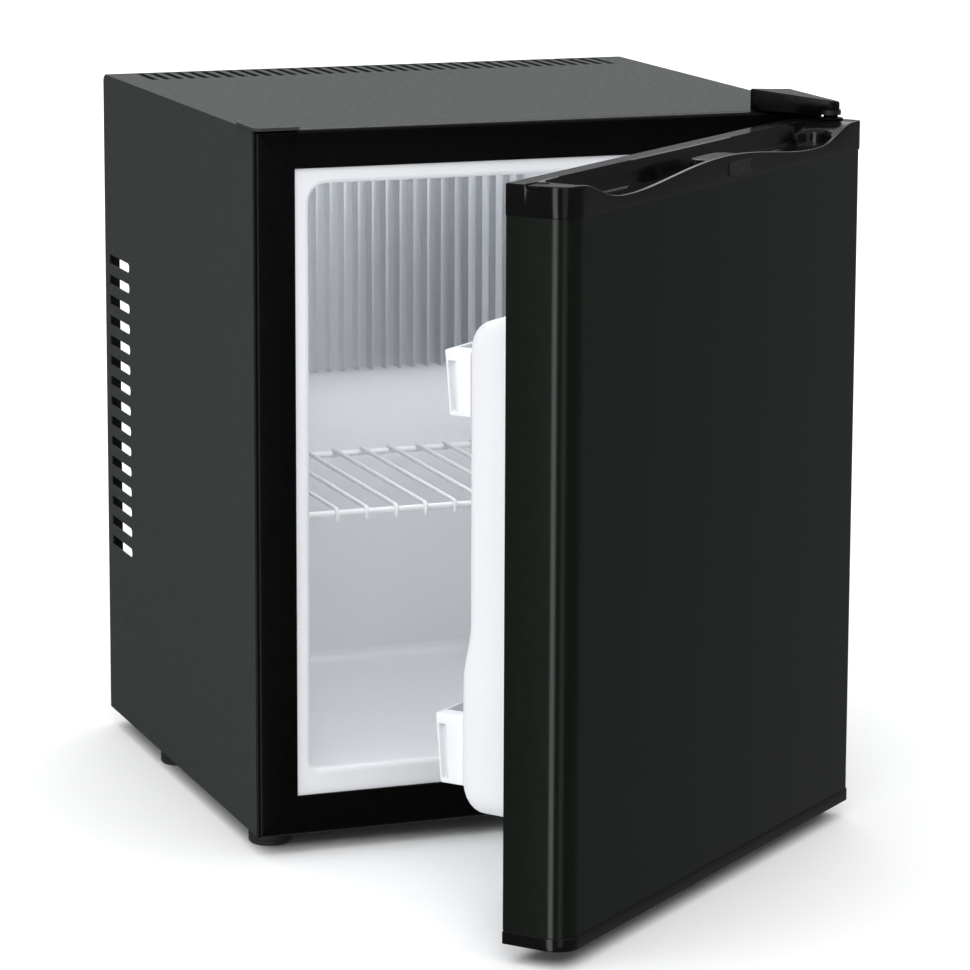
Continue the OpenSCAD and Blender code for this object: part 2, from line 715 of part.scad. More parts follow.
module door_foam() color("#d8cfa8") in_door() difference() {
  union() {
    translate([0, 0, low_cap_z]) linear_extrude(cap_z - low_cap_z)
      front_round_rect(-hx + 2, hx - 2, door_out + 2, door_in - 2, panel_r);
    ring_block(liner_t + 0.02);
  }
  pan(liner_t);
  post(pin_x, pin_y, low_cap_z - 1, dz0 + 14, bush_r + 1);
}

// Magnetic seal, a square ring on the flat rim of the liner
module door_gasket() color("#e9e9e6") in_door() along_y(door_in, front - 0.3) difference() {
  round_rect(-177, 177, 25, 446, 8);
  round_rect(-164, 164, 38, 433, 4);
}

// A door rack: a bin whose front stands beyond the raised ring
module rack(x_end, y_ring, y_front, zb, zt) {
  x_in = ring_x - ring_w - 0.6;
  difference() {
    union() {
      box(-x_in, x_in, pan_y + 1, y_ring + 1, zb, zt - 18);
      box(-x_end, x_end, y_ring + 0.4, y_front, zb, zt);
    }
    box(-x_in + 2, x_in - 2, pan_y, y_front - 2, zb + 2, zt + 1);
    for (side = [-1, 1])
      box(side * x_end - 6, side * x_end + 6, y_ring + 6, y_ring + 14, zb + 3, zt - 6);
  }
}

module upper_rack() color("#f6f6f4") in_door() rack(141, ring_y, front + 65, 308, 351);
module lower_rack() color("#f6f6f4") in_door() rack(139, ring_low_y, front + 72, 85, 132);

front_frame();
side_panel_left();
side_panel_right();
top_panel();
base_panel();
back_plate();
rear_cover();
rear_cover_screws();
cabinet_foam();
inner_liner();
foot_front_left();
foot_front_right();
foot_rear_left();
foot_rear_right();
hinge_hole_cover();
upper_hinge_bracket();
upper_hinge_pin();
upper_hinge_screws();
hinge_cover();
lower_hinge_bracket();
lower_hinge_pin();
lower_hinge_screws();
hinge_washer();
cold_sink();
cold_block();
peltier_module();
hot_sink();
sink_screws();
fan_frame();
fan_rotor();
control_box();
power_inlet();
inlet_contacts();
leads();
lamp_housing();
lamp_lens();
thermostat_knob();
wire_shelf();
door_panel();
door_top_cap();
door_bottom_cap();
badge_plate();
hinge_hole_plug();
door_foam();
door_liner();
door_gasket();
upper_door_bush();
lower_door_bush();
upper_rack();
lower_rack();
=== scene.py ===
# %% [markdown]
# # A small hotel fridge, from plain solids to finished pieces
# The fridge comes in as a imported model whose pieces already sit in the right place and
# move on the right hinges. This file gives it its looks: it rebuilds the pieces that the
# eye rests on with finer shapes, and gives every piece a finish made of nodes.

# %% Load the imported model
import json
import math

import bmesh
import bpy
import numpy as np
from mathutils import Matrix, Vector


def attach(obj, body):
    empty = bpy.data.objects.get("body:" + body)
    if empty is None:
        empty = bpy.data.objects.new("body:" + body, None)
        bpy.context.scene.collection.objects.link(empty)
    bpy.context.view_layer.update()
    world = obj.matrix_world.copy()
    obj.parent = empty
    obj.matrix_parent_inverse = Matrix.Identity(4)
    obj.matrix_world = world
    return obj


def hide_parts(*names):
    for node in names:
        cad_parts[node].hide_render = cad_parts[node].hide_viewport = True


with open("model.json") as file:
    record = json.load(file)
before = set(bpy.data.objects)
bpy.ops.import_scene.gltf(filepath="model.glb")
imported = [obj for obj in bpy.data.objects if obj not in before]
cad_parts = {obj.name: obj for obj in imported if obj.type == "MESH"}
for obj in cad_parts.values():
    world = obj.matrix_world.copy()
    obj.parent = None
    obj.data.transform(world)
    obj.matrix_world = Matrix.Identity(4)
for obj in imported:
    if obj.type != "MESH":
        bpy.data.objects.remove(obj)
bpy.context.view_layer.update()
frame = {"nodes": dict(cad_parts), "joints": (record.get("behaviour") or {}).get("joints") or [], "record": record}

nodes = frame["nodes"]
slot_of = {p["node"]: p["material_slot"] for p in frame["record"]["subparts"]}
body_of = {n: b for b, ns in frame["record"]["behaviour"]["bodies"].items() for n in ns}

# %% [markdown]
# ## Measures
# All lengths below are in millimetres, and become metres when a mesh is made. The pieces
# of the door are easiest to think about with the door shut, so they are worked out that
# way and then swung open by the angle that the hinge's own range gives.

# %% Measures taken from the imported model
MM, PER_METRE = 0.001, 1000.0
door_hinge = next(j for j in frame["joints"] if j["name"] == "door_hinge")
pin_x, pin_y = (PER_METRE * v for v in door_hinge["pos_m"][:2])
door_open = math.radians(-door_hinge["range_deg"][0])
SWINGING = ("door", "upper_rack", "lower_rack")


def turned(points, angle):
    """Turns points about the hinge pin: x' = x cos a - y sin a, y' = x sin a + y cos a."""
    p = np.array(points, float)
    x, y = p[..., 0] - pin_x, p[..., 1] - pin_y
    p[..., 0] = pin_x + x * math.cos(angle) - y * math.sin(angle)
    p[..., 1] = pin_y + x * math.sin(angle) + y * math.cos(angle)
    return p


def corners_of(mesh):
    """The corners of a mesh as rows of x, y and z, in metres."""
    flat = np.empty(len(mesh.vertices) * 3, np.float32)
    mesh.vertices.foreach_get("co", flat)
    return flat.reshape(-1, 3)


def extent(node):
    """(lowest, highest) corner of a node, with the door shut if the node is on the door."""
    v = corners_of(nodes[node].data) * PER_METRE
    if body_of[node] in SWINGING:
        v = turned(v, -door_open)
    return v.min(0), v.max(0)


frame_low, frame_high = extent("front_frame")
half_width, front = frame_high[0], frame_low[1]
cabinet_top, cabinet_bottom = frame_high[2], frame_low[2]
cap_low, cap_high = extent("door_top_cap")
door_out, door_in = cap_low[1], cap_high[1]
print("cabinet", 2 * half_width, "wide; door plane from", door_out, "to", door_in)

# %% [markdown]
# ## Mesh helpers
# Every new surface is a grid of points worked out with whole arrays. A grid may close on
# itself in one or both directions, and an open end gets one flat face as a lid. A closed
# shape has a signed volume, which tells whether its faces point out or in.


# %% Helpers for grids
def grid_faces(rows, cols, wrap_rows=False, wrap_cols=False):
    """Four-sided faces of a grid: (i, j), (i+1, j), (i+1, j+1), (i, j+1)."""
    i = np.arange(rows if wrap_rows else rows - 1)
    j = np.arange(cols if wrap_cols else cols - 1)
    i, j = np.meshgrid(i, j, indexing="ij")
    i2, j2 = (i + 1) % rows, (j + 1) % cols
    faces = np.stack([i * cols + j, i2 * cols + j, i2 * cols + j2, i * cols + j2], -1)
    return faces.reshape(-1, 4)


def outward(points, groups):
    """Flips all faces if the signed volume, the sum of a . (b x c) / 6, is negative."""
    total = 0.0
    for g in groups:
        a = points[g[:, 0]]
        for k in range(1, g.shape[1] - 1):
            total += np.einsum("ij,ij->", a, np.cross(points[g[:, k]], points[g[:, k + 1]]))
    return [g[:, ::-1] for g in groups] if total < 0 else groups


def loft(rings, wrap_rows=False, lids=True):
    """A closed part from rings of equal length: a grid closed round each ring, with two lids."""
    rings = np.asarray(rings, float)
    rows, cols = rings.shape[:2]
    groups = [grid_faces(rows, cols, wrap_rows, True)]
    if lids and not wrap_rows:
        groups.append(np.arange(cols)[None, ::-1])
        groups.append(((rows - 1) * cols + np.arange(cols))[None])
    points = rings.reshape(-1, 3)
    return points, outward(points, groups)


def add_object(name, data):
    """An object made of a mesh, a light or a camera, put in the scene."""
    thing = bpy.data.objects.new(name, data)
    bpy.context.scene.collection.objects.link(thing)
    return thing


def shade_smooth(mesh, sharp):
    """Smooth shading, broken where two faces meet at more than 'sharp' degrees."""
    mesh.polygons.foreach_set("use_smooth", np.ones(len(mesh.polygons), bool))
    mesh.set_sharp_from_angle(angle=math.radians(sharp))


def make_piece(name, node, parts, sharp=40, slot=None):
    """Joins closed parts into one mesh in metres that stands for a CAD node.

    It takes the node's body, and its slot if no other is named. The parts of a door piece
    are given with the door shut, and are swung open here.
    """
    slot = slot or slot_of[node]
    points, faces, start = [], [], 0
    for part_points, groups in parts:
        points.append(part_points)
        faces += [f for g in groups for f in (g + start).tolist()]
        start += len(part_points)
    points = np.concatenate(points)
    if body_of[node] in SWINGING:
        points = turned(points, door_open)
    mesh = bpy.data.meshes.new(name)
    mesh.from_pydata((points * MM).tolist(), [], faces)
    mesh.update()
    shade_smooth(mesh, sharp)
    piece = add_object(name, mesh)
    mesh.materials.append(finishes[slot])
    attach(piece, body_of[node])
    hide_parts(node)
    print(name, len(mesh.vertices), "points,", len(mesh.polygons), "faces")


# %% [markdown]
# ## Finishes
# A real surface is never one flat colour. Finishes could be built by hand in the node
# editor, but they differ only in numbers, so one function builds them all. It mixes two
# close colours with soft noise, lets the roughness wander a little, and adds a bump at the
# size of the real texture: an orange-peel ripple on moulded plastic, a fine grain on powder
# coat, long scratches on metal. Patterns lie in the object's own metres.


# %% The finish maker
NOISE_LOW, NOISE_HIGH = 0.3, 0.7
LAMP_COLOUR = (1.0, 0.97, 0.9, 1)


def finish(name, colour, rough, *, tint=0.12, drift=0.05, grain=900.0, bump=0.05, depth=0.0001,
           stretch=(1, 1, 1), cell=0.0, metallic=0.0, specular=0.5, glow=0.0):
    """Base colour = colour x (1 +- tint) by slow noise; roughness = rough +- drift; fine bump.

    grain and cell are details per metre, and depth is the height of the bumps in metres.
    """
    material = bpy.data.materials.new(name)
    material.use_nodes = True
    tree = material.node_tree
    link = tree.links.new
    shader = tree.nodes["Principled BSDF"].inputs

    def add(kind, vector=None, **inputs):
        """A new node with those inputs set, fed by a vector if one is given."""
        node = tree.nodes.new("ShaderNode" + kind)
        for socket, value in inputs.items():
            node.inputs[socket.replace("_", " ")].default_value = value
        if vector:
            link(vector, node.inputs["Vector"])
        return node

    where = add("TexCoord").outputs["Object"]
    place = add("Mapping", where, Scale=stretch).outputs["Vector"]
    slow = add("TexNoise", place, Scale=grain / 60, Detail=4)
    mix = add("Mix")
    mix.data_type = "RGBA"
    mix.inputs["A"].default_value = [c * (1 - tint) for c in colour] + [1]
    mix.inputs["B"].default_value = [min(c * (1 + tint), 1) for c in colour] + [1]
    link(slow.outputs["Fac"], mix.inputs["Factor"])
    link(mix.outputs["Result"], shader["Base Color"])

    spread = add("MapRange", From_Min=NOISE_LOW, From_Max=NOISE_HIGH,
                 To_Min=max(rough - drift, 0.02), To_Max=min(rough + drift, 1))
    patches = add("TexNoise", place, Scale=grain / 9, Detail=3)
    link(patches.outputs["Fac"], spread.inputs["Value"])
    link(spread.outputs["Result"], shader["Roughness"])

    height = add("TexNoise", place, Scale=grain, Detail=2).outputs["Fac"]
    if cell:
        total = add("Math")
        total.operation = "ADD"
        link(height, total.inputs[0])
        link(add("TexVoronoi", place, Scale=cell).outputs["Distance"], total.inputs[1])
        height = total.outputs["Value"]
    relief = add("Bump", Strength=bump, Distance=depth)
    link(height, relief.inputs["Height"])
    link(relief.outputs["Normal"], shader["Normal"])

    shader["Metallic"].default_value = metallic
    shader["Specular IOR Level"].default_value = specular
    if glow:
        shader["Emission Color"].default_value = LAMP_COLOUR
        shader["Emission Strength"].default_value = glow
    return material


# %% [markdown]
# ## One finish for each material
# The shell is steel with a dark grey powder coat: nearly matt, with a grain about half a
# millimetre across. The front frame and the door's caps are black moulded plastic, smoother
# and shinier. The tub is white polystyrene, and the hinge is blackened steel. Hidden metal
# and foam get finishes of their own, because they show through the vents and from behind.

# %% One finish for each material slot
ALONG_X, ALONG_Z, DRAWN_Z = (0.04, 1, 1), (1, 1, 0.05), (1, 1, 0.03)
finishes = {
    "frame_black": finish("black_frame_coat", (0.0010, 0.0010, 0.0009), 0.32, tint=0.12,
        grain=1500, bump=0.12, depth=0.00005, specular=0.05),
    "body_grey": finish("grey_powder_coat", (0.0262, 0.0305, 0.0294), 0.6, tint=0.07,
        grain=2200, bump=0.3, cell=1800, specular=0.14),
    "back_steel": finish("grey_coated_sheet", (0.30, 0.31, 0.32), 0.5, metallic=0.6, grain=700),
    "rear_black": finish("black_powder_coat", (0.009, 0.009, 0.0095), 0.5, grain=2200, bump=0.3,
        cell=1800, specular=0.25),
    "screw_steel": finish("zinc_plate", (0.55, 0.56, 0.58), 0.32, metallic=1.0, grain=1500,
        bump=0.2),
    "hinge_steel": finish("blackened_sheet", (0.008, 0.008, 0.008), 0.36, stretch=ALONG_X,
        bump=0.2, specular=0.2),
    "pin_steel": finish("blackened_steel", (0.012, 0.012, 0.013), 0.3, grain=2500,
        stretch=ALONG_Z, bump=0.1, specular=0.3),
    "foam": finish("rigid_foam", (0.70, 0.60, 0.33), 0.92, tint=0.2, cell=500, bump=0.6,
        depth=0.0006),
    "liner_white": finish("white_polystyrene", (0.80, 0.81, 0.83), 0.34, tint=0.015, drift=0.01,
        depth=0.00004),
    "rubber_black": finish("black_rubber", (0.012, 0.012, 0.012), 0.72, tint=0.2, grain=1800,
        bump=0.35, depth=0.0002, specular=0.3),
    "cap_black": finish("black_gloss_plastic", (0.0028, 0.003, 0.0026), 0.15, tint=0.1,
        drift=0.02, grain=700, bump=0.04, depth=0.00002, specular=0.1),
    "cover_black": finish("black_satin_plastic", (0.0022, 0.0024, 0.002), 0.26, grain=2000,
        bump=0.08, depth=0.00003, cell=1500, specular=0.09),
    "door_black": finish("black_door_coat", (0.0034, 0.0052, 0.0030), 0.22, tint=0.06,
        drift=0.02, grain=1800, depth=0.00003, cell=1600, specular=0.1),
    "alu": finish("drawn_aluminium", (0.68, 0.69, 0.71), 0.34, metallic=1.0, grain=1200,
        stretch=DRAWN_Z, bump=0.25, depth=0.00006),
    "ceramic": finish("white_ceramic", (0.80, 0.80, 0.77), 0.5, tint=0.03, grain=1500),
    "fan_black": finish("black_fan_plastic", (0.013, 0.013, 0.014), 0.4, grain=1200, bump=0.15),
    "box_black": finish("black_box_plastic", (0.018, 0.018, 0.019), 0.48, grain=1600, bump=0.3,
        depth=0.00015, cell=900),
    "contact_brass": finish("plated_brass", (0.72, 0.55, 0.28), 0.25, metallic=1.0, grain=1500),
    "lead_black": finish("black_insulation", (0.01, 0.01, 0.01), 0.46, grain=1500, bump=0.2),
    "lens_white": finish("frosted_lens", (0.86, 0.86, 0.80), 0.35, tint=0.02, cell=700,
        bump=0.3, glow=0.3),
    "knob_white": finish("white_knob_plastic", (0.74, 0.74, 0.72), 0.4, tint=0.03, grain=1400),
    "wire_white": finish("white_wire_coat", (0.80, 0.81, 0.82), 0.34, tint=0.02, drift=0.01,
        grain=600, bump=0.03),
    "seal_white": finish("soft_vinyl", (0.66, 0.66, 0.64), 0.55, tint=0.06, grain=1000,
        bump=0.2),
    "rack_white": finish("white_rack_plastic", (0.80, 0.81, 0.83), 0.3, tint=0.015, drift=0.01,
        grain=800, bump=0.04, depth=0.00003),
    "plate_grey": finish("dark_blank_plate", (0.009, 0.0095, 0.009), 0.3, grain=1500, bump=0.15,
        depth=0.00005, specular=0.14),
    "bush_black": finish("black_acetal", (0.002, 0.002, 0.002), 0.4, grain=1500, specular=0.03),
    "washer_white": finish("grey_nylon", (0.05, 0.05, 0.048), 0.5, tint=0.05, grain=1500,
        specular=0.2),
}
for node, thing in nodes.items():
    thing.data.materials.clear()
    thing.data.materials.append(finishes[slot_of[node]])
print(len(finishes), "finishes on", len(nodes), "nodes")

# %% [markdown]
# ## Camera
# The camera stands a little left of the front and a little above, nearly three metres away,
# with a long lens, so upright edges stay almost upright. It could track an empty object, but
# three angles say it more plainly: how far it turns right, looks down, and leans.

# %% Camera
TURNED, LOOKING_DOWN, LEANING = (math.radians(a) for a in (20.504, 10.411, 0.233))
stand = Vector((-0.94635, -2.55717, 0.76593))
middle = Vector((0, -0.034, 0.225))
camera = add_object("camera", bpy.data.cameras.new("camera"))
camera.matrix_world = (Matrix.Translation(stand) @ Matrix.Rotation(-TURNED, 4, "Z")
                       @ Matrix.Rotation(math.pi / 2 - LOOKING_DOWN, 4, "X")
                       @ Matrix.Rotation(LEANING, 4, "Z"))
camera.data.sensor_width, camera.data.lens, camera.data.shift_y = 36, 155.6, -0.1
camera.data.clip_start, camera.data.clip_end = 0.05, 200
bpy.context.scene.camera = camera
print("camera", round((stand - middle).length, 3), "m away")

# %% [markdown]
# ## Floor and light
# The floor is plain and pale. One wide sun stands in for a big ceiling of soft light. Black
# plastic shows little but reflections, so the lights that shape it are kept apart: some
# panels only light matt surfaces, and two tall ones only show as bright lines along rounded
# glossy edges. A small panel lights the white tub from inside.


# %% Floor and light
def soft_panel(name, place, aim, size, power, colour=(1, 1, 1), matt=True, gloss=True):
    """A rectangular soft light at place that faces aim; it may skip matt or glossy light."""
    light = bpy.data.lights.new(name, "AREA")
    light.shape = "RECTANGLE"
    light.size, light.size_y = size
    light.energy, light.color = power, colour
    lamp = add_object(name, light)
    lamp.location = place
    lamp.rotation_euler = (Vector(aim) - Vector(place)).to_track_quat("-Z", "Y").to_euler()
    lamp.visible_camera, lamp.visible_diffuse, lamp.visible_glossy = False, matt, gloss


FLOOR_REACH = 40.0
floor_corners = [(x * FLOOR_REACH, y * FLOOR_REACH, 0)
                 for x, y in ((-1, -1), (1, -1), (1, 1), (-1, 1))]
floor_mesh = bpy.data.meshes.new("floor")
floor_mesh.from_pydata(floor_corners, [], [(0, 1, 2, 3)])
floor = add_object("floor", floor_mesh)
floor_mesh.materials.append(finish("pale_floor", (0.92, 0.92, 0.92), 0.85, tint=0.01, grain=60,
                                   bump=0.02, specular=0.1))
floor.visible_glossy = False

sun = bpy.data.lights.new("ceiling_light", "SUN")
sun.energy, sun.angle = 2.9, math.radians(100)
add_object("ceiling_light", sun).rotation_euler = (math.radians(12), math.radians(-8), 0)
soft_panel("left_panel", (-2.6, -0.6, 1.5), (0, 0, 0.25), (1.2, 2.2), 3.5, gloss=False)
soft_panel("front_panel", (-0.9, -3.4, 2.2), (0, -0.1, 0.3), (1.6, 1.0), 21, gloss=False)
soft_panel("left_gloss", (-1.036, -0.98, 0.3), (-0.09, -0.41, 0.3), (0.44, 2.6), 36, matt=False)
soft_panel("front_gloss", (-0.34, -1.72, 0.4), (-0.09, -0.41, 0.4), (0.5, 2.4), 7, matt=False)
soft_panel("back_panel", (2.2, 6.0, 4.2), (0, 0, 0.4), (8.0, 4.0), 185)
soft_panel("right_panel", (2.6, -1.6, 1.4), (0.1, -0.2, 0.3), (0.6, 2.2), 6)
soft_panel("tub_light", (0.0, -0.03, 0.415), (-0.02, 0.02, 0.05), (0.22, 0.12), 0.3,
           (0.94, 0.97, 1.0))

world = bpy.data.worlds.new("studio")
world.use_nodes = True
background = world.node_tree.nodes["Background"]
background.inputs["Color"].default_value = (0.95, 0.97, 1.0, 1)
background.inputs["Strength"].default_value = 0.31
bpy.context.scene.world = world
bpy.context.scene.view_settings.view_transform = "Standard"
print("one sun and seven soft panels")

# %% [markdown]
# ## Softened copies of CAD pieces
# Real sheet metal and mouldings have no knife edges, and it is their small rounded edges
# that catch the light. They could be modelled again by hand, but a copy of the CAD piece
# already has the right shape: it is merged into one skin, its flat areas are joined into
# single faces, and a Bevel modifier rounds what is sharp.

# %% Round the edges of CAD pieces
MERGE, FLAT_WITHIN, SHARP = 0.000005, math.radians(0.6), 30


def softened(node, name, width):
    """A merged copy of a CAD node with its sharp edges rounded to width millimetres."""
    mesh = nodes[node].data.copy()
    mesh.name = name
    work = bmesh.new()
    work.from_mesh(mesh)
    bmesh.ops.remove_doubles(work, verts=work.verts, dist=MERGE)
    bmesh.ops.dissolve_limit(work, angle_limit=FLAT_WITHIN, verts=work.verts, edges=work.edges)
    work.to_mesh(mesh)
    work.free()
    shade_smooth(mesh, SHARP)
    piece = add_object(name, mesh)
    bevel = piece.modifiers.new("rounded edges", "BEVEL")
    bevel.width, bevel.segments = width * MM, 2
    bevel.limit_method, bevel.angle_limit = "ANGLE", math.radians(SHARP)
    bevel.harden_normals = True
    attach(piece, body_of[node])
    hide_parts(node)


SOFT_EDGES = {
    "side_panel_left": 0.3, "side_panel_right": 0.3, "top_panel": 0.35, "base_panel": 0.3,
    "rear_cover": 0.25, "hinge_hole_cover": 0.6, "upper_hinge_bracket": 0.4,
    "lower_hinge_bracket": 0.4, "control_box": 1.0, "power_inlet": 0.5, "lamp_housing": 1.2,
    "lamp_lens": 0.6, "thermostat_knob": 0.6, "fan_frame": 0.4, "upper_hinge_screws": 0.4,
    "lower_hinge_screws": 0.4, "rear_cover_screws": 0.3, "sink_screws": 0.3,
    "upper_door_bush": 0.25,
}
for node, width in SOFT_EDGES.items():
    softened(node, node + "_rounded", width)
print(len(SOFT_EDGES), "pieces with rounded edges")

# %% [markdown]
# ## The slots in the top
# The slots in the top are punched a little wider than they are drawn. The points of each
# slot lie close to its middle line, so they are moved away from that line in one step.

# %% Widen the top slots
SLOT_PITCH, SLOTS, DRAWN, PUNCHED = 9.0, 38, 1.3, 2.2
SLOT_SETBACK, SLOT_REACH, TOP_SKIN, NEAR = 28, 20.1, 2, 0.05
top_mesh = bpy.data.objects["top_panel_rounded"].data
point = corners_of(top_mesh) / MM
slot = np.clip(np.round(point[:, 0] / SLOT_PITCH + (SLOTS - 1) / 2), 0, SLOTS - 1)
from_middle = point[:, 0] - (slot - (SLOTS - 1) / 2) * SLOT_PITCH
slot_line = extent("top_panel")[1][1] - SLOT_SETBACK
on_slot = (np.abs(from_middle) < DRAWN + NEAR) & (np.abs(from_middle) > DRAWN - NEAR)
on_slot &= (np.abs(point[:, 1] - slot_line) < SLOT_REACH) & (point[:, 2] > cabinet_top - TOP_SKIN)
point[:, 0] += np.where(on_slot, np.sign(from_middle) * (PUNCHED - DRAWN), 0)
top_mesh.vertices.foreach_set("co", (point * MM).astype(np.float32).ravel())
top_mesh.update()
print(int(on_slot.sum()), "slot points moved")

# %% [markdown]
# ## Loops and edges
# Most pieces of a fridge are rounded rectangles that grow, shrink and move as one goes
# round an edge. So one function gives a rounded rectangle as a loop of points, always in
# the same order, and loops of different sizes can be joined into one skin.


# %% Rounded rectangles
def circle(a):
    """Points (cos a, sin a) of the unit circle."""
    return np.stack([np.cos(a), np.sin(a)], -1)


def rounded_loop(x0, x1, z0, z1, r, arc=8, side_x=0, side_z=0, r_low=None):
    """Loop of a rectangle with corner arcs (cx + r cos t, cz + r sin t) and evenly cut sides.

    r_low, if it is given, is the radius of the two lower corners.
    """
    t = np.linspace(0, math.pi / 2, arc + 1)
    q = r if r_low is None else r_low
    corners = [(x1 - q, z0 + q, -90, q), (x1 - r, z1 - r, 0, r), (x0 + r, z1 - r, 90, r),
               (x0 + q, z0 + q, 180, q)]
    pieces = []
    for k, (cx, cz, start, radius) in enumerate(corners):
        bend = (cx, cz) + radius * circle(t + math.radians(start))
        nx, nz, nstart, nradius = corners[(k + 1) % 4]
        following = (nx, nz) + nradius * circle(math.radians(nstart))
        count = side_z if k % 2 == 0 else side_x
        s = np.linspace(0, 1, count + 2)[1:-1, None]
        pieces += [bend, bend[-1] + s * (following - bend[-1])]
    return np.concatenate(pieces)


def upright(loop, y):
    """A loop in X and Z at depth y, which is one number or one for each point."""
    return np.stack([loop[:, 0], np.broadcast_to(y, len(loop)), loop[:, 1]], -1)


def level(loop, z):
    """A loop in X and Y at height z, which is one number or one for each point."""
    return np.stack([loop[:, 0], loop[:, 1], np.broadcast_to(z, len(loop))], -1)


def quarter(n):
    """(1 - cos t, sin t) for t from 0 to 90 degrees: how an edge of radius 1 turns a corner."""
    t = np.linspace(0, math.pi / 2, n + 1)
    return np.stack([1 - np.cos(t), np.sin(t)], -1)


def smooth(t):
    """0 below 0, 1 above 1, and 3 t^2 - 2 t^3 between."""
    t = np.clip(t, 0, 1)
    return t * t * (3 - 2 * t)


# %% [markdown]
# ## The front frame
# The black frame round the opening is four lengths of plastic that meet in mitres. Its
# outer edge is well rounded, its inner edge a little, and each mitre shows as a hair line.
# One profile is carried round the rectangle, and at each corner it dips into that line.

# %% Front frame
OPENING_X, SILL, HEAD, SIDE_BAR = 164.5, 25.0, 24.0, 25.0
ROUND_OUT, ROUND_IN, PLATE, RIM, RIM_WALL = 2.6, 1.0, 2.0, 6.0, 1.2
LINE_WIDTH, LINE_DEPTH = 0.22, 0.4
outer_arc, inner_arc = quarter(6) * ROUND_OUT, quarter(3) * ROUND_IN


def share(mm):
    """A distance in from the outer edge, as a share of the frame's width."""
    return mm / SIDE_BAR


profile = np.array(
    [(share(0), RIM)] + [(share(a), ROUND_OUT - b) for a, b in outer_arc]
    + [(1 - share(ROUND_IN - b), a) for a, b in inner_arc]
    + [(1, PLATE), (share(RIM_WALL), PLATE), (share(RIM_WALL), RIM)])
corner_rings = []
for sx, sz in ((1, -1), (1, 1), (-1, 1), (-1, -1)):
    outer = np.array([sx * half_width, cabinet_top if sz > 0 else cabinet_bottom])
    inner = np.array([sx * OPENING_X, cabinet_top - HEAD if sz > 0 else cabinet_bottom + SILL])
    across = outer + profile[:, :1] * (inner - outer)
    for step, sink in (((-sx, 0), 0), ((0, 0), 1), ((0, -sz), 0)):
        moved = across + LINE_WIDTH * np.array(step)
        dip = LINE_DEPTH * sink * (profile[:, 1] < PLATE)
        corner_rings.append(np.stack([moved[:, 0], front + profile[:, 1] + dip, moved[:, 1]], -1))
make_piece("front_frame_mitred", "front_frame", [loft(corner_rings, wrap_rows=True)], sharp=50)

# %% [markdown]
# ## The door's top cap
# The cap is one glossy moulding. A long finger pocket with a saddle in its middle is sunk
# into it behind a thin lip, whose top runs in a wave: high at the ends, low over each half
# of the pocket, and half way up in the middle. Cutting it with booleans would leave hard
# edges. Seen from above it is a height field, so it is made as one: a grid over the cap's
# outline, whose lines crowd together where the surface turns, lifted to the right height. A
# signed distance to the pocket's rounded outline tells how far inside it a point lies.

# %% Heights over the top cap
cap_floor, cap_top, CAP_DEPTH = cap_low[2], cap_high[2], 43
LIP, POCKET_DEPTH, POCKET_BACK = 3.0, 14.0, 13.5
POCKET_END, POCKET_R, POCKET_WALL = 160.0, 13.0, 2.6
SADDLE_X, SADDLE_DEPTH, SADDLE_R, SADDLE_WALL = 22.0, 13.5, 6, 3.0
FREE_CORNER, HINGE_CORNER = 14.0, 6.0
NOTCH_Y, NOTCH_HALF, NOTCH_DEPTH, NOTCH_WALL = door_in - 17.5, 4.5, 2.6, 0.7
WAVE_LOW, WAVE_MIDDLE, WAVE_AT, WAVE_END = 7.5, 15.9, 118.0, 178.0


def ease(t):
    """(1 - cos 180 t) / 2, which starts and ends level."""
    return (1 - np.cos(math.pi * np.clip(t, 0, 1))) / 2


def lip_height(x):
    """Height of the lip above the cap's bottom: eased from middle to low, then up to the end."""
    a = np.abs(x)
    to_end = ease(np.clip((a - WAVE_AT) / (WAVE_END - WAVE_AT), 0, 1) ** 1.5)
    to_middle = ease(np.clip((WAVE_AT - a) / WAVE_AT, 0, 1) ** 0.9)
    outer = WAVE_LOW + (cap_top - cap_floor - WAVE_LOW) * to_end
    inner = WAVE_LOW + (WAVE_MIDDLE - WAVE_LOW) * to_middle
    return np.where(a >= WAVE_AT, outer, inner)


def distance_to_box(x, y, x0, x1, y0, y1, r):
    """Signed distance to a rounded rectangle: length of the part outside the core, less r."""
    qx = np.abs(x - (x0 + x1) / 2) - (x1 - x0) / 2 + r
    qy = np.abs(y - (y0 + y1) / 2) - (y1 - y0) / 2 + r
    outside = np.hypot(np.maximum(qx, 0), np.maximum(qy, 0))
    return outside + np.minimum(np.maximum(qx, qy), 0) - r


def cap_half_width(depth, corner):
    """Half the cap's width at that depth from its front: the corner arc eats into it."""
    d = np.clip(corner - depth, 0, corner)
    return half_width - corner + np.sqrt(corner**2 - d**2)


def edge_drop(distance, r):
    """How far a rounded edge lies below the flat: r - sqrt(r^2 - (r - d)^2)."""
    d = np.clip(r - distance, 0, r)
    return r - np.sqrt(r**2 - d**2)


def rim_distance(x, y):
    """How far a point lies inside the door's outline, whose two front corners are arcs."""
    depth = y - door_out
    corner = np.where(x < 0, FREE_CORNER, HINGE_CORNER)
    beyond = np.maximum(np.abs(x) - half_width + corner, 0)
    before = np.maximum(corner - depth, 0)
    straight = np.minimum(np.minimum(depth, door_in - y), half_width - np.abs(x))
    return np.where((beyond > 0) & (before > 0), corner - np.hypot(beyond, before), straight)


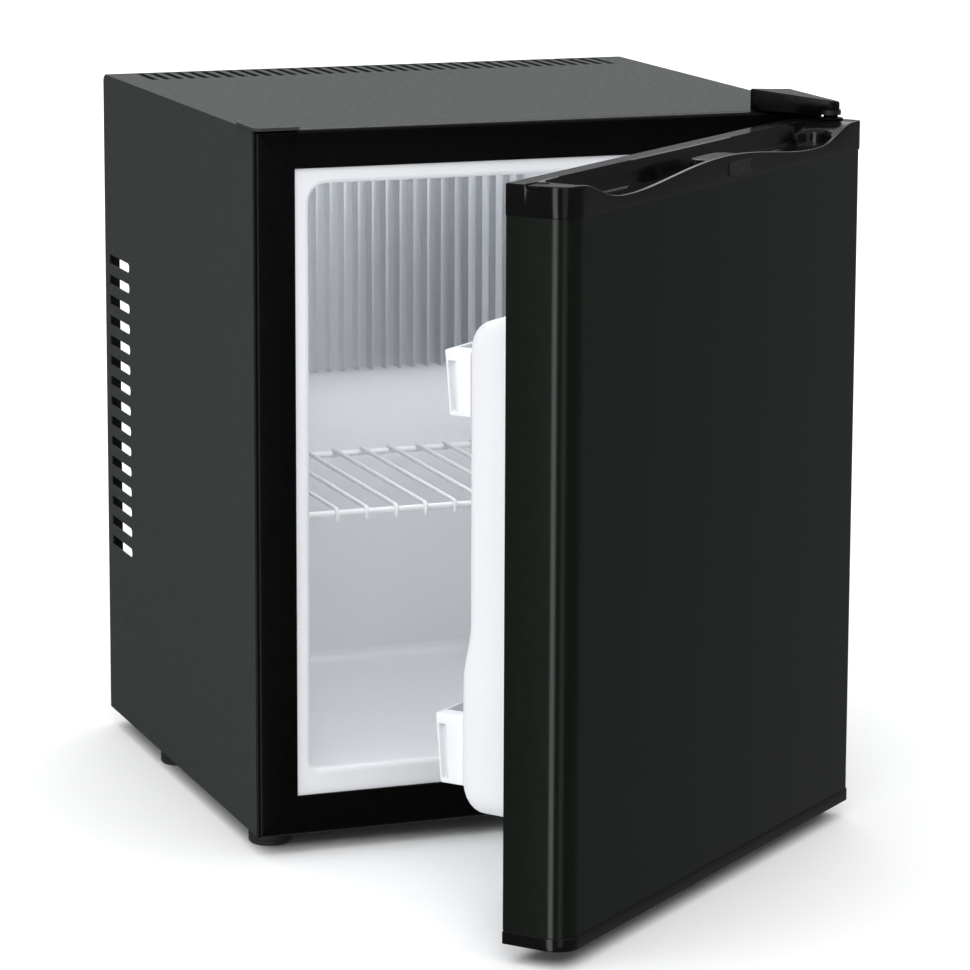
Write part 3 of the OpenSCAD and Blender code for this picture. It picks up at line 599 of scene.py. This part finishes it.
def field_block(across, depths, height, bottom):
    """A closed block: a height field on top, walls down from its rim, and a flat bottom."""
    wide = np.where(across[None, :] < 0, cap_half_width(depths, FREE_CORNER)[:, None],
                    cap_half_width(depths, HINGE_CORNER)[:, None])
    x = across[None, :] * wide
    y = np.broadcast_to((door_out + depths)[:, None], x.shape)
    z = height(x, y)
    rows, cols = x.shape
    top = np.stack([x, y, z], -1).reshape(-1, 3)
    index = np.arange(rows * cols).reshape(rows, cols)
    rim = np.concatenate([index[0], index[1:, -1], index[-1, -2::-1], index[-2:0:-1, 0]])
    steps = [(0.0, bottom + 0.6), (0.18, bottom + 0.18), (0.6, bottom)]
    middle = np.array([0.0, (door_out + door_in) / 2])
    rings, groups = [top], [grid_faces(rows, cols)]
    last, start = rim, len(top)
    for inward, z_ring in steps:
        ring = top[rim].copy()
        towards = middle - ring[:, :2]
        reach_in = inward / np.maximum(np.abs(towards), 1e-6)
        ring[:, :2] += towards * np.minimum(reach_in, 1) * (np.abs(towards) > 5)
        ring[:, 2] = z_ring
        here = start + np.arange(len(rim))
        groups.append(np.stack([last, np.roll(last, -1), np.roll(here, -1), here], -1))
        rings.append(ring)
        last, start = here, start + len(rim)
    groups.append(last[None])
    points = np.concatenate(rings)
    return points, outward_grid(points, groups)


def outward_grid(points, groups):
    """The top grid and the walls may be wound differently, so each is checked by itself."""
    top = groups[0]
    origin = points[top[:, 0]]
    upward = np.cross(points[top[:, 1]] - origin, points[top[:, 3]] - origin)[:, 2].sum() > 0
    wall = groups[1]
    corner = points[wall[:, 0]]
    centre = corner.mean(0)
    normals = np.cross(points[wall[:, 1]] - corner, points[wall[:, 3]] - corner)
    away = np.einsum("ij,ij->", normals, corner - centre) > 0
    walls = [g if away else g[:, ::-1] for g in groups[1:-1]]
    lid = groups[-1]
    ring = points[lid[0]]
    area = np.cross(ring[:, :2], np.roll(ring[:, :2], -1, 0)).sum()
    return [top if upward else top[:, ::-1]] + walls + [lid if area < 0 else lid[:, ::-1]]


def top_cap_height(x, y):
    """Lip wave in front, flat strip behind, minus the pocket (but not its saddle) and a notch."""
    depth = y - door_out
    wave = cap_floor + lip_height(x)
    strip = smooth((depth - (door_in - door_out - POCKET_BACK - 0.2)) / 0.9)
    z = wave + (cap_top - wave) * strip
    pocket = -distance_to_box(x, y, -POCKET_END, POCKET_END, door_out + LIP,
                              door_in - POCKET_BACK, POCKET_R)
    saddle = -distance_to_box(x, y, -SADDLE_X, SADDLE_X, door_out - 20,
                              door_out + LIP + SADDLE_DEPTH, SADDLE_R)
    sunk = smooth(pocket / POCKET_WALL) * (1 - smooth(saddle / SADDLE_WALL + 0.5))
    z = z - (z - (cap_top - POCKET_DEPTH)) * sunk
    notch = -distance_to_box(x, y, -half_width - 4, -pin_x + NOTCH_HALF, NOTCH_Y - NOTCH_HALF,
                             NOTCH_Y + NOTCH_HALF, 2.6)
    z = z - NOTCH_DEPTH * smooth(notch / NOTCH_WALL + 0.5)
    lip_in = np.where(strip < 0.5, np.maximum(LIP - depth, 0), 9)
    return z - edge_drop(rim_distance(x, y), 1.0) - 0.35 * edge_drop(lip_in, 0.6)


# %% [markdown]
# The grid's lines lie closest near the lip and round the rim, where the surface turns within
# a millimetre. The unused hinge hole at the free end is filled by a plug in the notch, and a
# small blank plate sits on the cap's front.

# %% Top cap
fine = np.array([0, 0.06, 0.2, 0.4, 0.65, 1.0, 1.4, 1.75, 2.0, 2.2, 2.4, 2.6, 2.8, 3.0, 3.2,
                 3.45, 3.7, 4.2, 5.0, 6.0, 7.5])
last_lines = [41.4, 41.9, 42.3, 42.6, 42.8, 42.94, CAP_DEPTH]
depths = np.concatenate([fine, np.arange(8.2, 41, 0.75), last_lines])
edge_in = np.array([0, 0.06, 0.2, 0.45, 0.8, 1.2, 1.8, 2.5, 3.3, 4.2, 5.2, 6.2, 7.2, 8.2])
edge_lines = 1 - edge_in / half_width
middle_lines = np.linspace(-edge_lines[-1], edge_lines[-1], 430)[1:-1]
across = np.concatenate([-edge_lines, middle_lines, edge_lines[::-1]])
make_piece("door_top_cap_waved", "door_top_cap",
           [field_block(across, depths, top_cap_height, cap_floor)], sharp=60)

PLUG_HALF, PLUG_R = 4.2, 1.2
plug_rings = [level(rounded_loop(-half_width + 0.05 + d, -pin_x + PLUG_HALF - d,
                                 NOTCH_Y - PLUG_HALF + d, NOTCH_Y + PLUG_HALF - d,
                                 PLUG_R - d / 2), cap_top + z)
              for d, z in ((0.3, -2.7), (0, -2.5), (0, -1.1), (0.15, -0.85), (0.5, -0.75))]
make_piece("hinge_notch_plug", "hinge_hole_plug", [loft(plug_rings)], slot="bush_black")

BLANK_X, BLANK_Z, BLANK_WIDE, BLANK_HIGH, BLANK_R = 17.0, cap_floor + 7.3, 15, 4.4, 3.2
plate_rings = [upright(rounded_loop(BLANK_X - BLANK_WIDE + d, BLANK_X + BLANK_WIDE - d,
                                    BLANK_Z - BLANK_HIGH + d, BLANK_Z + BLANK_HIGH - d,
                                    BLANK_R - d), door_out + y)
               for d, y in ((0, 0.4), (0, -0.45), (0.15, -0.75), (0.5, -0.9), (0.9, -0.9),
                            (1.2, -0.75), (1.4, -0.5), (2.2, -0.5))]
make_piece("blank_plate", "badge_plate", [loft(plate_rings)])

# %% [markdown]
# ## The door's bottom cap
# The bottom cap has the same outline as the top one, but a flat top that the door skin
# stands on. The same block function makes it, with a height that only rounds the rim.

# %% Bottom cap
LOWER_TOP, LOW_RIM_R = 1.6, 0.9
low_cap_low, low_cap_high = extent("door_bottom_cap")
low_cap_top = low_cap_high[2] - LOWER_TOP


def low_cap_height(x, y):
    """Flat, with its rim rounded."""
    return low_cap_top - edge_drop(rim_distance(x, y), LOW_RIM_R)


few = np.concatenate([fine[:17], np.linspace(6, 37, 12), CAP_DEPTH - fine[12::-1] / 2])
few_across = np.concatenate([-edge_lines, np.linspace(-0.95, 0.95, 40), edge_lines[::-1]])
make_piece("door_bottom_cap_rounded", "door_bottom_cap",
           [field_block(few_across, few, low_cap_height, low_cap_low[2])], sharp=60)

# %% [markdown]
# ## The door's skin
# The skin is one sheet of steel folded back along both sides. Its corner on the free side
# is turned much more generously than the one at the hinge. A Solidify modifier could give
# it its thickness, but an outline and the same outline one sheet thickness further in make
# a thin closed band by themselves, which is drawn out upwards.

# %% Door skin
skin_low, skin_high = extent("door_panel")
SHEET, BEHIND_CAPS, ARC_POINTS = 0.8, 0.6, 17


def folded_path(inset):
    """From the hinge side's rear edge round both front corners to the free side's rear edge."""
    x0, x1, y0, y1 = skin_low[0] + inset, skin_high[0] - inset, skin_low[1] + inset, skin_high[1]
    hinge_r, free_r = HINGE_CORNER - BEHIND_CAPS - inset, FREE_CORNER - BEHIND_CAPS - inset
    parts = [np.array([[x1, y1]])]
    for sign, x_end, r in ((1, x1, hinge_r), (-1, x0, free_r)):
        t = np.linspace(0, math.pi / 2, ARC_POINTS)[::sign]
        parts.append(np.stack([x_end - sign * r * (1 - np.cos(t)), y0 + r * (1 - np.sin(t))], -1))
    return np.concatenate(parts + [np.array([[x0, y1]])])


skin_loop = np.concatenate([folded_path(0), folded_path(SHEET)[::-1]])
skin_band = loft([level(skin_loop, low_cap_top), level(skin_loop, skin_high[2])])
make_piece("door_skin_folded", "door_panel", [skin_band])

# %% [markdown]
# ## The hinge cover
# The cover is a black wedge over the upper hinge. From above it is a triangle whose front
# corner wraps round the hinge pin, its top falls towards the hinge side, and a short round
# boss stands under it over the pin. The outline is a loop of points, and the loop is pulled
# inwards a little at a time to round the top edge, which follows the slope by itself.


# %% Hinge cover
def pulled_in(loop, d):
    """Each point moved inwards by d along the mean of the normals of its two edges."""
    ahead_edge = np.roll(loop, -1, 0) - loop
    ahead_edge /= np.linalg.norm(ahead_edge, axis=1, keepdims=True)
    behind_edge = np.roll(ahead_edge, 1, 0)
    n1 = np.stack([-ahead_edge[:, 1], ahead_edge[:, 0]], -1)
    n2 = np.stack([-behind_edge[:, 1], behind_edge[:, 0]], -1)
    mean = n1 + n2
    mean /= np.linalg.norm(mean, axis=1, keepdims=True)
    return loop + mean * d / np.maximum((mean * n1).sum(1, keepdims=True), 0.5)


def corner_arc(at, before, after, r):
    """Curve of about radius r that rounds the corner 'at': (1-t)^2 p0 + 2t(1-t) at + t^2 p2."""
    a = (before - at) / np.linalg.norm(before - at)
    b = (after - at) / np.linalg.norm(after - at)
    half = math.acos(np.clip(a @ b, -1, 1)) / 2
    t = np.linspace(0, 1, 7)[:, None]
    run = r / math.tan(half)
    p0, p2 = at + a * run, at + b * run
    return (1 - t) ** 2 * p0 + 2 * t * (1 - t) * at + t**2 * p2


cover_low, cover_high = extent("hinge_cover")
TIP_R, COVER_RISE, COVER_FALL, COVER_EDGE = 5.5, 14.2, 5.9, 1.4
cover_side = pin_x + TIP_R
wedge_left = np.array([cover_low[0] - 3.4, front + 8.0])
wedge_rear = np.array([cover_side, cover_high[1]])
pin = np.array([pin_x, pin_y])
to_pin = pin - wedge_left
turn_in = math.atan2(to_pin[1], to_pin[0]) - math.asin(TIP_R / np.linalg.norm(to_pin))
tip = pin + TIP_R * circle(np.linspace(turn_in - math.pi / 2, 0, 18))
side_y = np.linspace(pin_y, wedge_rear[1] - 4, 8)[1:-1]
side_line = np.stack([np.full(6, cover_side), side_y], -1)
wedge = np.concatenate([tip, side_line,
                        corner_arc(wedge_rear, side_line[-1], wedge_left, 2.0),
                        corner_arc(wedge_left, wedge_rear, tip[0], 2.5)])


def wedge_top(x):
    """Height of the sloped top: a straight fall from the left corner to the hinge side."""
    share_across = (x - wedge_left[0]) / (cover_side - wedge_left[0])
    return cabinet_top + COVER_RISE - COVER_FALL * share_across


cover_rings = [level(pulled_in(wedge, 0.3), cabinet_top + 0.05), level(wedge, cabinet_top + 0.4)]
for inward, rise in quarter(5) * COVER_EDGE:
    ring = pulled_in(wedge, inward)
    cover_rings.append(level(ring, wedge_top(ring[:, 0]) - COVER_EDGE + rise))
flat_in = pulled_in(wedge, 3.2)
cover_rings.append(level(flat_in, wedge_top(flat_in[:, 0])))
boss_low = extent("upper_door_bush")[1][2] + 0.15
boss_circle = circle(np.linspace(0, 2 * math.pi, 32, endpoint=False))
boss_rings = [level(pin + r * boss_circle, z)
              for r, z in ((4.1, boss_low), (4.5, boss_low + 0.4), (4.5, cabinet_top + 1.5))]
make_piece("hinge_cover_wedge", "hinge_cover", [loft(cover_rings), loft(boss_rings)], sharp=45)

# %% [markdown]
# ## The white tub
# The tub is vacuum-formed from one white sheet. A flat flange lies behind the black frame,
# a rounded mouth leads into the walls, and the walls turn into the back with a bigger
# radius. Ribs for the shelf run along both sides: each is half a bar standing out of the
# wall with a round front end. The walls are lofted, and a rib is a push inwards on them,
# because bars joined on as pieces of their own would show a seam.

# %% Inner tub
flange_low, flange_high = extent("inner_liner")
TUB_X, TUB_LOW, TUB_HIGH, TUB_R, TUB_WALL = 155.0, 53.5, 424.0, 12.0, 2.0
MOUTH_R, BACK_R, FLANGE_WIDE, TUB_SIDE_CUTS = 3.0, 8, 17, 200
tub_back = flange_high[1] - TUB_WALL
RIB_FIRST, RIB_STEP, RIB_R, RIBS = 160.0, 19.4, 4.0, 9
rib_front = front + 34.0


def ribbed(ring):
    """Pushes side-wall points inwards by sqrt(r^2 - dz^2 - dy^2) near each rib's axis."""
    x, y, z = ring[..., 0], ring[..., 1], ring[..., 2]
    nearest = RIB_FIRST + RIB_STEP * np.clip(np.round((z - RIB_FIRST) / RIB_STEP), 0, RIBS - 1)
    dz, dy = z - nearest, np.maximum(rib_front + RIB_R - y, 0)
    push = np.sqrt(np.maximum(RIB_R**2 - dz**2 - dy**2, 0)) * (y < tub_back - 1)
    side = np.abs(x) > TUB_X - 1.5
    out = ring.copy()
    out[..., 0] = x - np.sign(x) * push * side
    return out


def tub_ring(grow, y, r):
    """A ring of the tub at depth y, grown outwards, with its sides cut into short steps."""
    low = TUB_LOW - grow if grow < FLANGE_WIDE else flange_low[2]
    loop = rounded_loop(-TUB_X - grow, TUB_X + grow, low, TUB_HIGH + grow, r, arc=6, side_x=6,
                        side_z=TUB_SIDE_CUTS, r_low=max(r - 7, 3))
    return upright(loop, y)


tub = [tub_ring(TUB_WALL, tub_back + TUB_WALL, 14), tub_ring(TUB_WALL, front + 4, 14),
       tub_ring(FLANGE_WIDE, front + 4, 3), tub_ring(FLANGE_WIDE, front + 2, 3),
       tub_ring(MOUTH_R, front + 2, TUB_R + MOUTH_R)]
tub += [tub_ring(MOUTH_R - rise * MOUTH_R, front + 2 + inward * MOUTH_R,
                 TUB_R + MOUTH_R - rise * MOUTH_R) for inward, rise in quarter(4)]
rib_ends = rib_front + RIB_R * (1 - np.cos(np.linspace(0, math.pi / 2, 7)))
walls = np.concatenate([[front + 7], np.arange(front + 12, rib_front - 1, 7), rib_ends,
                        np.linspace(rib_front + 8, tub_back - BACK_R, 14)])
tub += [ribbed(tub_ring(0, y, TUB_R)) for y in walls]
tub += [tub_ring(-BACK_R * inward, tub_back - BACK_R + BACK_R * rise, TUB_R - 4 * inward)
        for inward, rise in quarter(4)[1:]]
make_piece("inner_tub", "inner_liner", [loft(tub)], sharp=55)

# %% [markdown]
# ## The door's inner side
# The door's white inside is formed too: a flat rim, then a tall ring that carries the racks,
# and a dish in the middle. The ring is deeper towards the bottom and its lower edge is well
# rounded. Each loop of points goes round the door, and its depth may change with height.

# %% Door liner
RING_X, RING_LOW, RING_TOP, DRAFT_X, DRAFT_Z, EDGE = 149.0, 69.5, 377.0, 3.5, 14, 3
DISH_X, DISH_LOW, DISH_HIGH = 131.0, 84.0, 348.0
CREST, CREST_LOW_DOWN, FADE_AT, FADE_OVER = 46, 5, 185, 35


def crest(z):
    """Depth of the ring's crest past the front plane, which is more low down."""
    return front + CREST + CREST_LOW_DOWN * smooth((FADE_AT - z) / FADE_OVER)


def door_ring(x, low, high, r, share_of_depth=None, y=None):
    """A loop round the door liner, at depth y or at a share of the way to the crest."""
    loop = rounded_loop(-x, x, low, high, r, side_x=8, side_z=60)
    if y is None:
        y = door_in + share_of_depth * (crest(loop[:, 1]) - door_in)
    return upright(loop, y)


# Half width, bottom, top, corner radius, and how far behind the rim's face each loop lies.
behind_face = ((128, 86, 344, 6, 14), (133, 81.5, 349, 6, 14), (133, 81.5, 349, 6, 2),
               (185, 22, 435.5, 5, 2), (186, 21.1, 436, 6, 1.6), (186, 21.1, 436, 6, 0.4),
               (185.6, 21.5, 435.6, 6, 0))
liner_rings = [door_ring(x, low, high, r, y=door_in - back)
               for x, low, high, r, back in behind_face]
liner_rings += [door_ring(RING_X + EDGE - EDGE * rise, RING_LOW - EDGE + EDGE * rise,
                          RING_TOP + EDGE - EDGE * rise, 15, share_of_depth=0.06 * inward)
                for inward, rise in quarter(4)]
wall_shares = np.linspace(0.12, 0.76, 5)
liner_rings += [door_ring(RING_X - DRAFT_X * s, RING_LOW, RING_TOP - DRAFT_Z * s, 12,
                          share_of_depth=s) for s in wall_shares]
for inward, rise in quarter(7):
    s = 0.76 + 0.24 * rise
    liner_rings.append(door_ring(RING_X - DRAFT_X * s - 5 * inward, RING_LOW + 12 * inward,
                                 RING_TOP - DRAFT_Z * s - 4 * inward, 12, share_of_depth=s))
liner_rings += [door_ring(DISH_X + 3.5 - EDGE * rise, DISH_LOW - 2 + EDGE * rise,
                          DISH_HIGH + EDGE - EDGE * rise, 8, share_of_depth=1 - 0.06 * inward)
                for inward, rise in quarter(4)]
liner_rings += [door_ring(DISH_X, DISH_LOW, DISH_HIGH, 7, s) for s in (0.8, 0.5, 0.2)]
liner_rings += [door_ring(DISH_X - 4 * inward, DISH_LOW + 4 * inward, DISH_HIGH - 0.5 - 4 * inward,
                          7, y=door_in - 8 - 4 * rise) for inward, rise in quarter(4)]
make_piece("door_liner_formed", "door_liner", [loft(liner_rings)], sharp=50)

# %% [markdown]
# ## The door's foam
# Foam fills the door and the ring. It is never seen, but it has to stay inside the new,
# rounder skin and follow the dish, or it would show through. It is two lofts: a slab with a
# hollow, and the ring.

# %% Foam inside the door
FOAM_GAP, FOAM_X, FOAM_BASE = 2.2, 187, -0.04
DISH_BACK = (134, 80.5, 350, 6)


def foam_ring(x, low, high, s):
    """A loop a little inside the liner's ring, at a share s of the way to the crest."""
    return door_ring(x - FOAM_GAP, low + FOAM_GAP, high - FOAM_GAP, 10, share_of_depth=s)


# How far in from the free side and from the hinge side each loop lies, and its depth.
foam_sides = ((9, 6, skin_low[1] + 1.5), (6.2, 3, skin_low[1] + 3), (4, 1.5, skin_low[1] + 5),
              (1.8, 0.6, skin_low[1] + 9), (0.9, 0.6, skin_low[1] + 13.5),
              (0.9, 0.6, door_in - FOAM_GAP))
foam_rings = [upright(rounded_loop(-FOAM_X + free, FOAM_X - hinge, skin_low[2] + 0.3,
                                   skin_high[2] - 0.3, 3, side_x=8, side_z=60), y)
              for free, hinge, y in foam_sides]
foam_rings += [door_ring(*DISH_BACK, y=door_in - FOAM_GAP), door_ring(*DISH_BACK, y=door_in - 14.6)]
ring_foam = [foam_ring(RING_X, RING_LOW, RING_TOP, FOAM_BASE)]
ring_foam += [foam_ring(RING_X - DRAFT_X * s, RING_LOW, RING_TOP - DRAFT_Z * s, s)
              for s in wall_shares]
ring_foam += [foam_ring(RING_X - 9, RING_LOW + 10, RING_TOP - 17, 0.93)]
ring_foam += [door_ring(134.5, 80, 352, 8, s) for s in (0.93, FOAM_BASE)]
make_piece("door_foam_filled", "door_foam", [loft(foam_rings), loft(ring_foam, wrap_rows=True)],
           sharp=50)

# %% [markdown]
# ## The racks
# A rack is a bin moulded in one piece. Seen from above it is a wide front part that stands
# past the liner's ring, and a narrower part that fits inside it. Its front leans with the
# draft of the mould, each end has a narrow recess, and the rim is rounded. It is one skin:
# up the outside, over the rim, and down the inside.

# %% Racks
RACK_BACK, RACK_INSIDE, RACK_HEIGHT, RACK_LEAN = 130.2, 128.4, 0.9, 3.5
BACK_LOWER, RECESS, CLEAR_OF_CREST = 18, 4.0, 0.9


def rack_outline(xe, y0, y1, y2):
    """Right half of the bin's outline from the middle of its back to the middle of its front."""
    bend = quarter(4)
    back = np.stack([RACK_BACK - 3 + 3 * bend[:, 1], y0 + 3 * bend[:, 0]], -1)
    step = [[RACK_BACK, y1 - 1.5], [RACK_BACK, y1 - 0.4], [RACK_BACK + 0.6, y1]]
    shoulder = np.stack([xe - 1.5 + 1.5 * bend[:, 1], y1 + 1.5 * bend[:, 0]], -1)
    end_y = y2 - np.array([7.6, 7.1, 6.6, 4.6, 3.4, 2.9, 2.4])
    end = np.stack([np.full(len(end_y), xe), end_y], -1)
    corner = np.stack([xe - 2 * bend[:, 0], y2 - 2 + 2 * bend[:, 1]], -1)
    middle = np.stack([np.linspace(xe - 12, 0, 6), np.full(6, y2)], -1)
    return np.concatenate([[[0, y0], [60, y0]], back, step, shoulder, end, corner, middle])


def rack_bin(node, y_step):
    """One closed skin: outer rings upwards, three rings over the rim, inner rings downwards."""
    low, high = extent(node)
    xe, y0, y2 = high[0], low[1], high[1]
    zb, zt = low[2], low[2] + RACK_HEIGHT * (high[2] - low[2])
    half = rack_outline(xe, y0, y_step, y2)
    loop = np.concatenate([half, half[-2:0:-1] * [-1, 1]])
    a, y = np.abs(loop[:, 0]), loop[:, 1]
    in_back = (a <= RACK_BACK + 0.1) & (y < y_step - 0.3)
    rim_z = np.where(in_back, zt - BACK_LOWER, zt)
    inner_y = np.where(in_back, y0 + 2 + (y - y0) * (y_step - y0 - 2.2) / (y_step - y0),
                       y_step + 0.3 + (y - y_step) * (y2 - y_step - 2.3) / (y2 - y_step))
    across_step = np.clip((a - RACK_BACK) / (xe - RACK_BACK), 0, 1)
    inner_y = inner_y + np.where(in_back, 0, 0.8 * across_step * (y < y_step + 0.1))
    inner_x = np.minimum(a * RACK_INSIDE / np.where(in_back, RACK_BACK, xe), RACK_INSIDE)
    inner = np.stack([np.sign(loop[:, 0]) * inner_x, inner_y], -1)
    recess = (a > xe - 0.1) & (y > y2 - 7.3) & (y < y2 - 2.7)

    def ring(plan, z, inset=0.0):
        """The plan at height z, pulled in by inset, its front leaning back towards its foot."""
        z = np.broadcast_to(z, len(plan)).astype(float)
        x = plan[:, 0] * (1 - inset / xe)
        y = plan[:, 1] - inset * np.sign(plan[:, 1] - (y0 + y2) / 2)
        out = np.clip((y - y_step) / (y2 - y_step), 0, 1)
        return np.stack([x, y - RACK_LEAN * out * np.clip((zt - z) / (zt - zb), 0, 1), z], -1)

    levels = np.concatenate([[zb + 1.2, zb + 3.0, zb + 3.6], np.linspace(zb + 8, zt - 11, 5),
                             [zt - 6.6, zt - 6.0]])
    rings = [ring(loop, zb, 1.0), ring(loop, zb + 0.3, 0.3)]
    for z in levels:
        outer = ring(loop, np.minimum(z, rim_z - 1.5 - (zt - z) / 20))
        hollow = recess & (z > zb + 3.3) & (z < zt - 6.3)
        outer[:, 0] -= np.where(hollow, np.sign(outer[:, 0]) * RECESS, 0)
        rings.append(outer)
    rings += [ring(loop, rim_z - 0.8), ring(loop, rim_z - 0.25, 0.25), ring(loop, rim_z, 0.7)]
    rings += [ring(inner, rim_z, -0.5), ring(inner, rim_z - 0.3, -0.15), ring(inner, rim_z - 0.9)]
    rings += [ring(inner, zb + 3.2, 0.1), ring(inner, zb + 2.2, 0.6), ring(inner, zb + 2.0, 1.4)]
    return loft(rings)


for node, crest_depth in (("upper_rack", CREST), ("lower_rack", CREST + CREST_LOW_DOWN)):
    rack = rack_bin(node, front + (crest_depth + CLEAR_OF_CREST))
    make_piece(node + "_moulded", node, [rack])

# %% [markdown]
# ## The seal
# The seal is a soft square tube with a folded side, so it has ridges and a magnet bulge.
# One section, given as distances in from the seal's edge and heights, is carried round the
# door by loops that are pulled in by the same distances.

# %% Door seal
seal_low, seal_high = extent("door_gasket")
section = ((0.6, 0), (0.2, 0.5), (0.9, 1.0), (0.3, 1.6), (0.9, 2.1), (0.5, 2.7), (1.1, 3.3),
           (2.2, 3.7), (4.2, 3.6), (5.2, 3.2), (6.4, 3.6), (9.6, 3.7), (11.2, 3.4),
           (12.1, 2.8), (12.5, 2.2), (11.9, 1.6), (12.6, 1.0), (12.2, 0.5), (12.8, 0))
SEAL_R, SEAL_LEAST_R = 14, 1.5
seal_rings = [upright(rounded_loop(seal_low[0] + d, seal_high[0] - d, seal_low[2] + d,
                                   seal_high[2] - d, max(SEAL_R - d, SEAL_LEAST_R), arc=6,
                                   side_x=2, side_z=2), seal_low[1] + y) for d, y in section]
make_piece("door_seal_folded", "door_gasket", [loft(seal_rings, wrap_rows=True)], sharp=70)


# %% [markdown]
# ## The wire shelf
# The shelf is welded from coated wire: two thicker bars across, a row of thin wires from
# front to back whose front ends turn down over the bar, and a wire along each side. Each
# wire is a circle carried along a path, with its ends drawn together into a dome.


# %% Wires
def wire(path, r, side, n=10):
    """Circle r (side cos t + v sin t) along a path that is square to 'side', with domed ends."""
    path = np.asarray(path, float)
    along = np.gradient(path, axis=0)
    along /= np.linalg.norm(along, axis=1, keepdims=True)
    side = np.asarray(side, float)
    v = np.cross(along, side)
    t = np.linspace(0, 2 * math.pi, n, endpoint=False)
    swing = np.cos(t)[None, :, None] * side + np.sin(t)[None, :, None] * v[:, None]
    rings = path[:, None] + r * swing
    caps = np.array([0.35, 0.675]) * math.pi / 2
    first = [path[0] - along[0] * r * math.sin(a) + r * math.cos(a) * swing[0] for a in caps[::-1]]
    last = [path[-1] + along[-1] * r * math.sin(a) + r * math.cos(a) * swing[-1] for a in caps]
    return loft(np.concatenate([first, rings, last]))


shelf_low, shelf_high = extent("wire_shelf")
BAR, SIDE, THIN, THIN_WIRES, WIRE_PITCH, HOOK_R, HOOK_DROP = 2.2, 1.8, 1.5, 15, 20.0, 3.0, 3.2
bar_z = shelf_low[2] + BAR
wire_z = bar_z + BAR + 0.6
bar_front, bar_back = shelf_low[1] + BAR, shelf_high[1] - BAR
wire_x = (np.arange(THIN_WIRES) - (THIN_WIRES - 1) / 2) * WIRE_PITCH
bend = np.linspace(0, math.pi / 2, 6)
hook = np.stack([np.zeros(6), bar_front - HOOK_R * np.sin(bend) + 1.0,
                 wire_z - HOOK_R * (1 - np.cos(bend))], -1)
thin_path = np.concatenate([[hook[-1] - [0, 0, HOOK_DROP]], hook[::-1],
                            [[0, bar_back + 1, wire_z]]])
shelf_parts = [wire(thin_path + [x, 0, 0], THIN, (1, 0, 0)) for x in wire_x]
for y in (bar_front, bar_back):
    bar_x = np.linspace(shelf_low[0] + 1.5, shelf_high[0] - 1.5, 3)
    bar = np.stack([bar_x, np.full(3, y), np.full(3, bar_z)], -1)
    shelf_parts.append(wire(bar, BAR, (0, 1, 0), 12))
for x in (shelf_low[0] + 1.9, shelf_high[0] - 1.9):
    side_y = np.linspace(bar_front - 0.6, bar_back + 0.6, 3)
    side = np.stack([np.full(3, x), side_y, np.full(3, bar_z)], -1)
    shelf_parts.append(wire(side, SIDE, (1, 0, 0), 12))
make_piece("shelf_of_wire", "wire_shelf", shelf_parts, sharp=70)

# %% [markdown]
# ## The feet
# Each foot is a rubber puck with rounded edges and two grooves round it, turned like a pot:
# a profile of radius and height, carried round the foot's axis.

# %% Rubber feet
foot_profile = np.array([(4.0, 0.9), (9.5, 0.9), (10.4, 0.15), (11.4, 0.0), (13.2, 0.3),
                         (14.0, 1.2), (14.0, 3.0), (13.5, 3.4), (13.5, 3.9), (14.0, 4.3),
                         (14.0, 6.3), (13.5, 6.7), (13.5, 7.2), (13.9, 7.6), (13.6, 8.5),
                         (12.0, 9.0), (12.0, 11.95), (4.0, 11.95)])
radius, height = foot_profile[:, :1], foot_profile[:, 1:]
around = np.linspace(0, 2 * math.pi, 48, endpoint=False)
for name in ("foot_front_left", "foot_front_right", "foot_rear_left", "foot_rear_right"):
    low, high = extent(name)
    cx, cy = (low[:2] + high[:2]) / 2
    rings = np.stack([cx + radius * np.cos(around), cy + radius * np.sin(around),
                      np.broadcast_to(height, (len(height), len(around)))], -1)
    make_piece(name + "_turned", name, [loft(rings)], sharp=50)
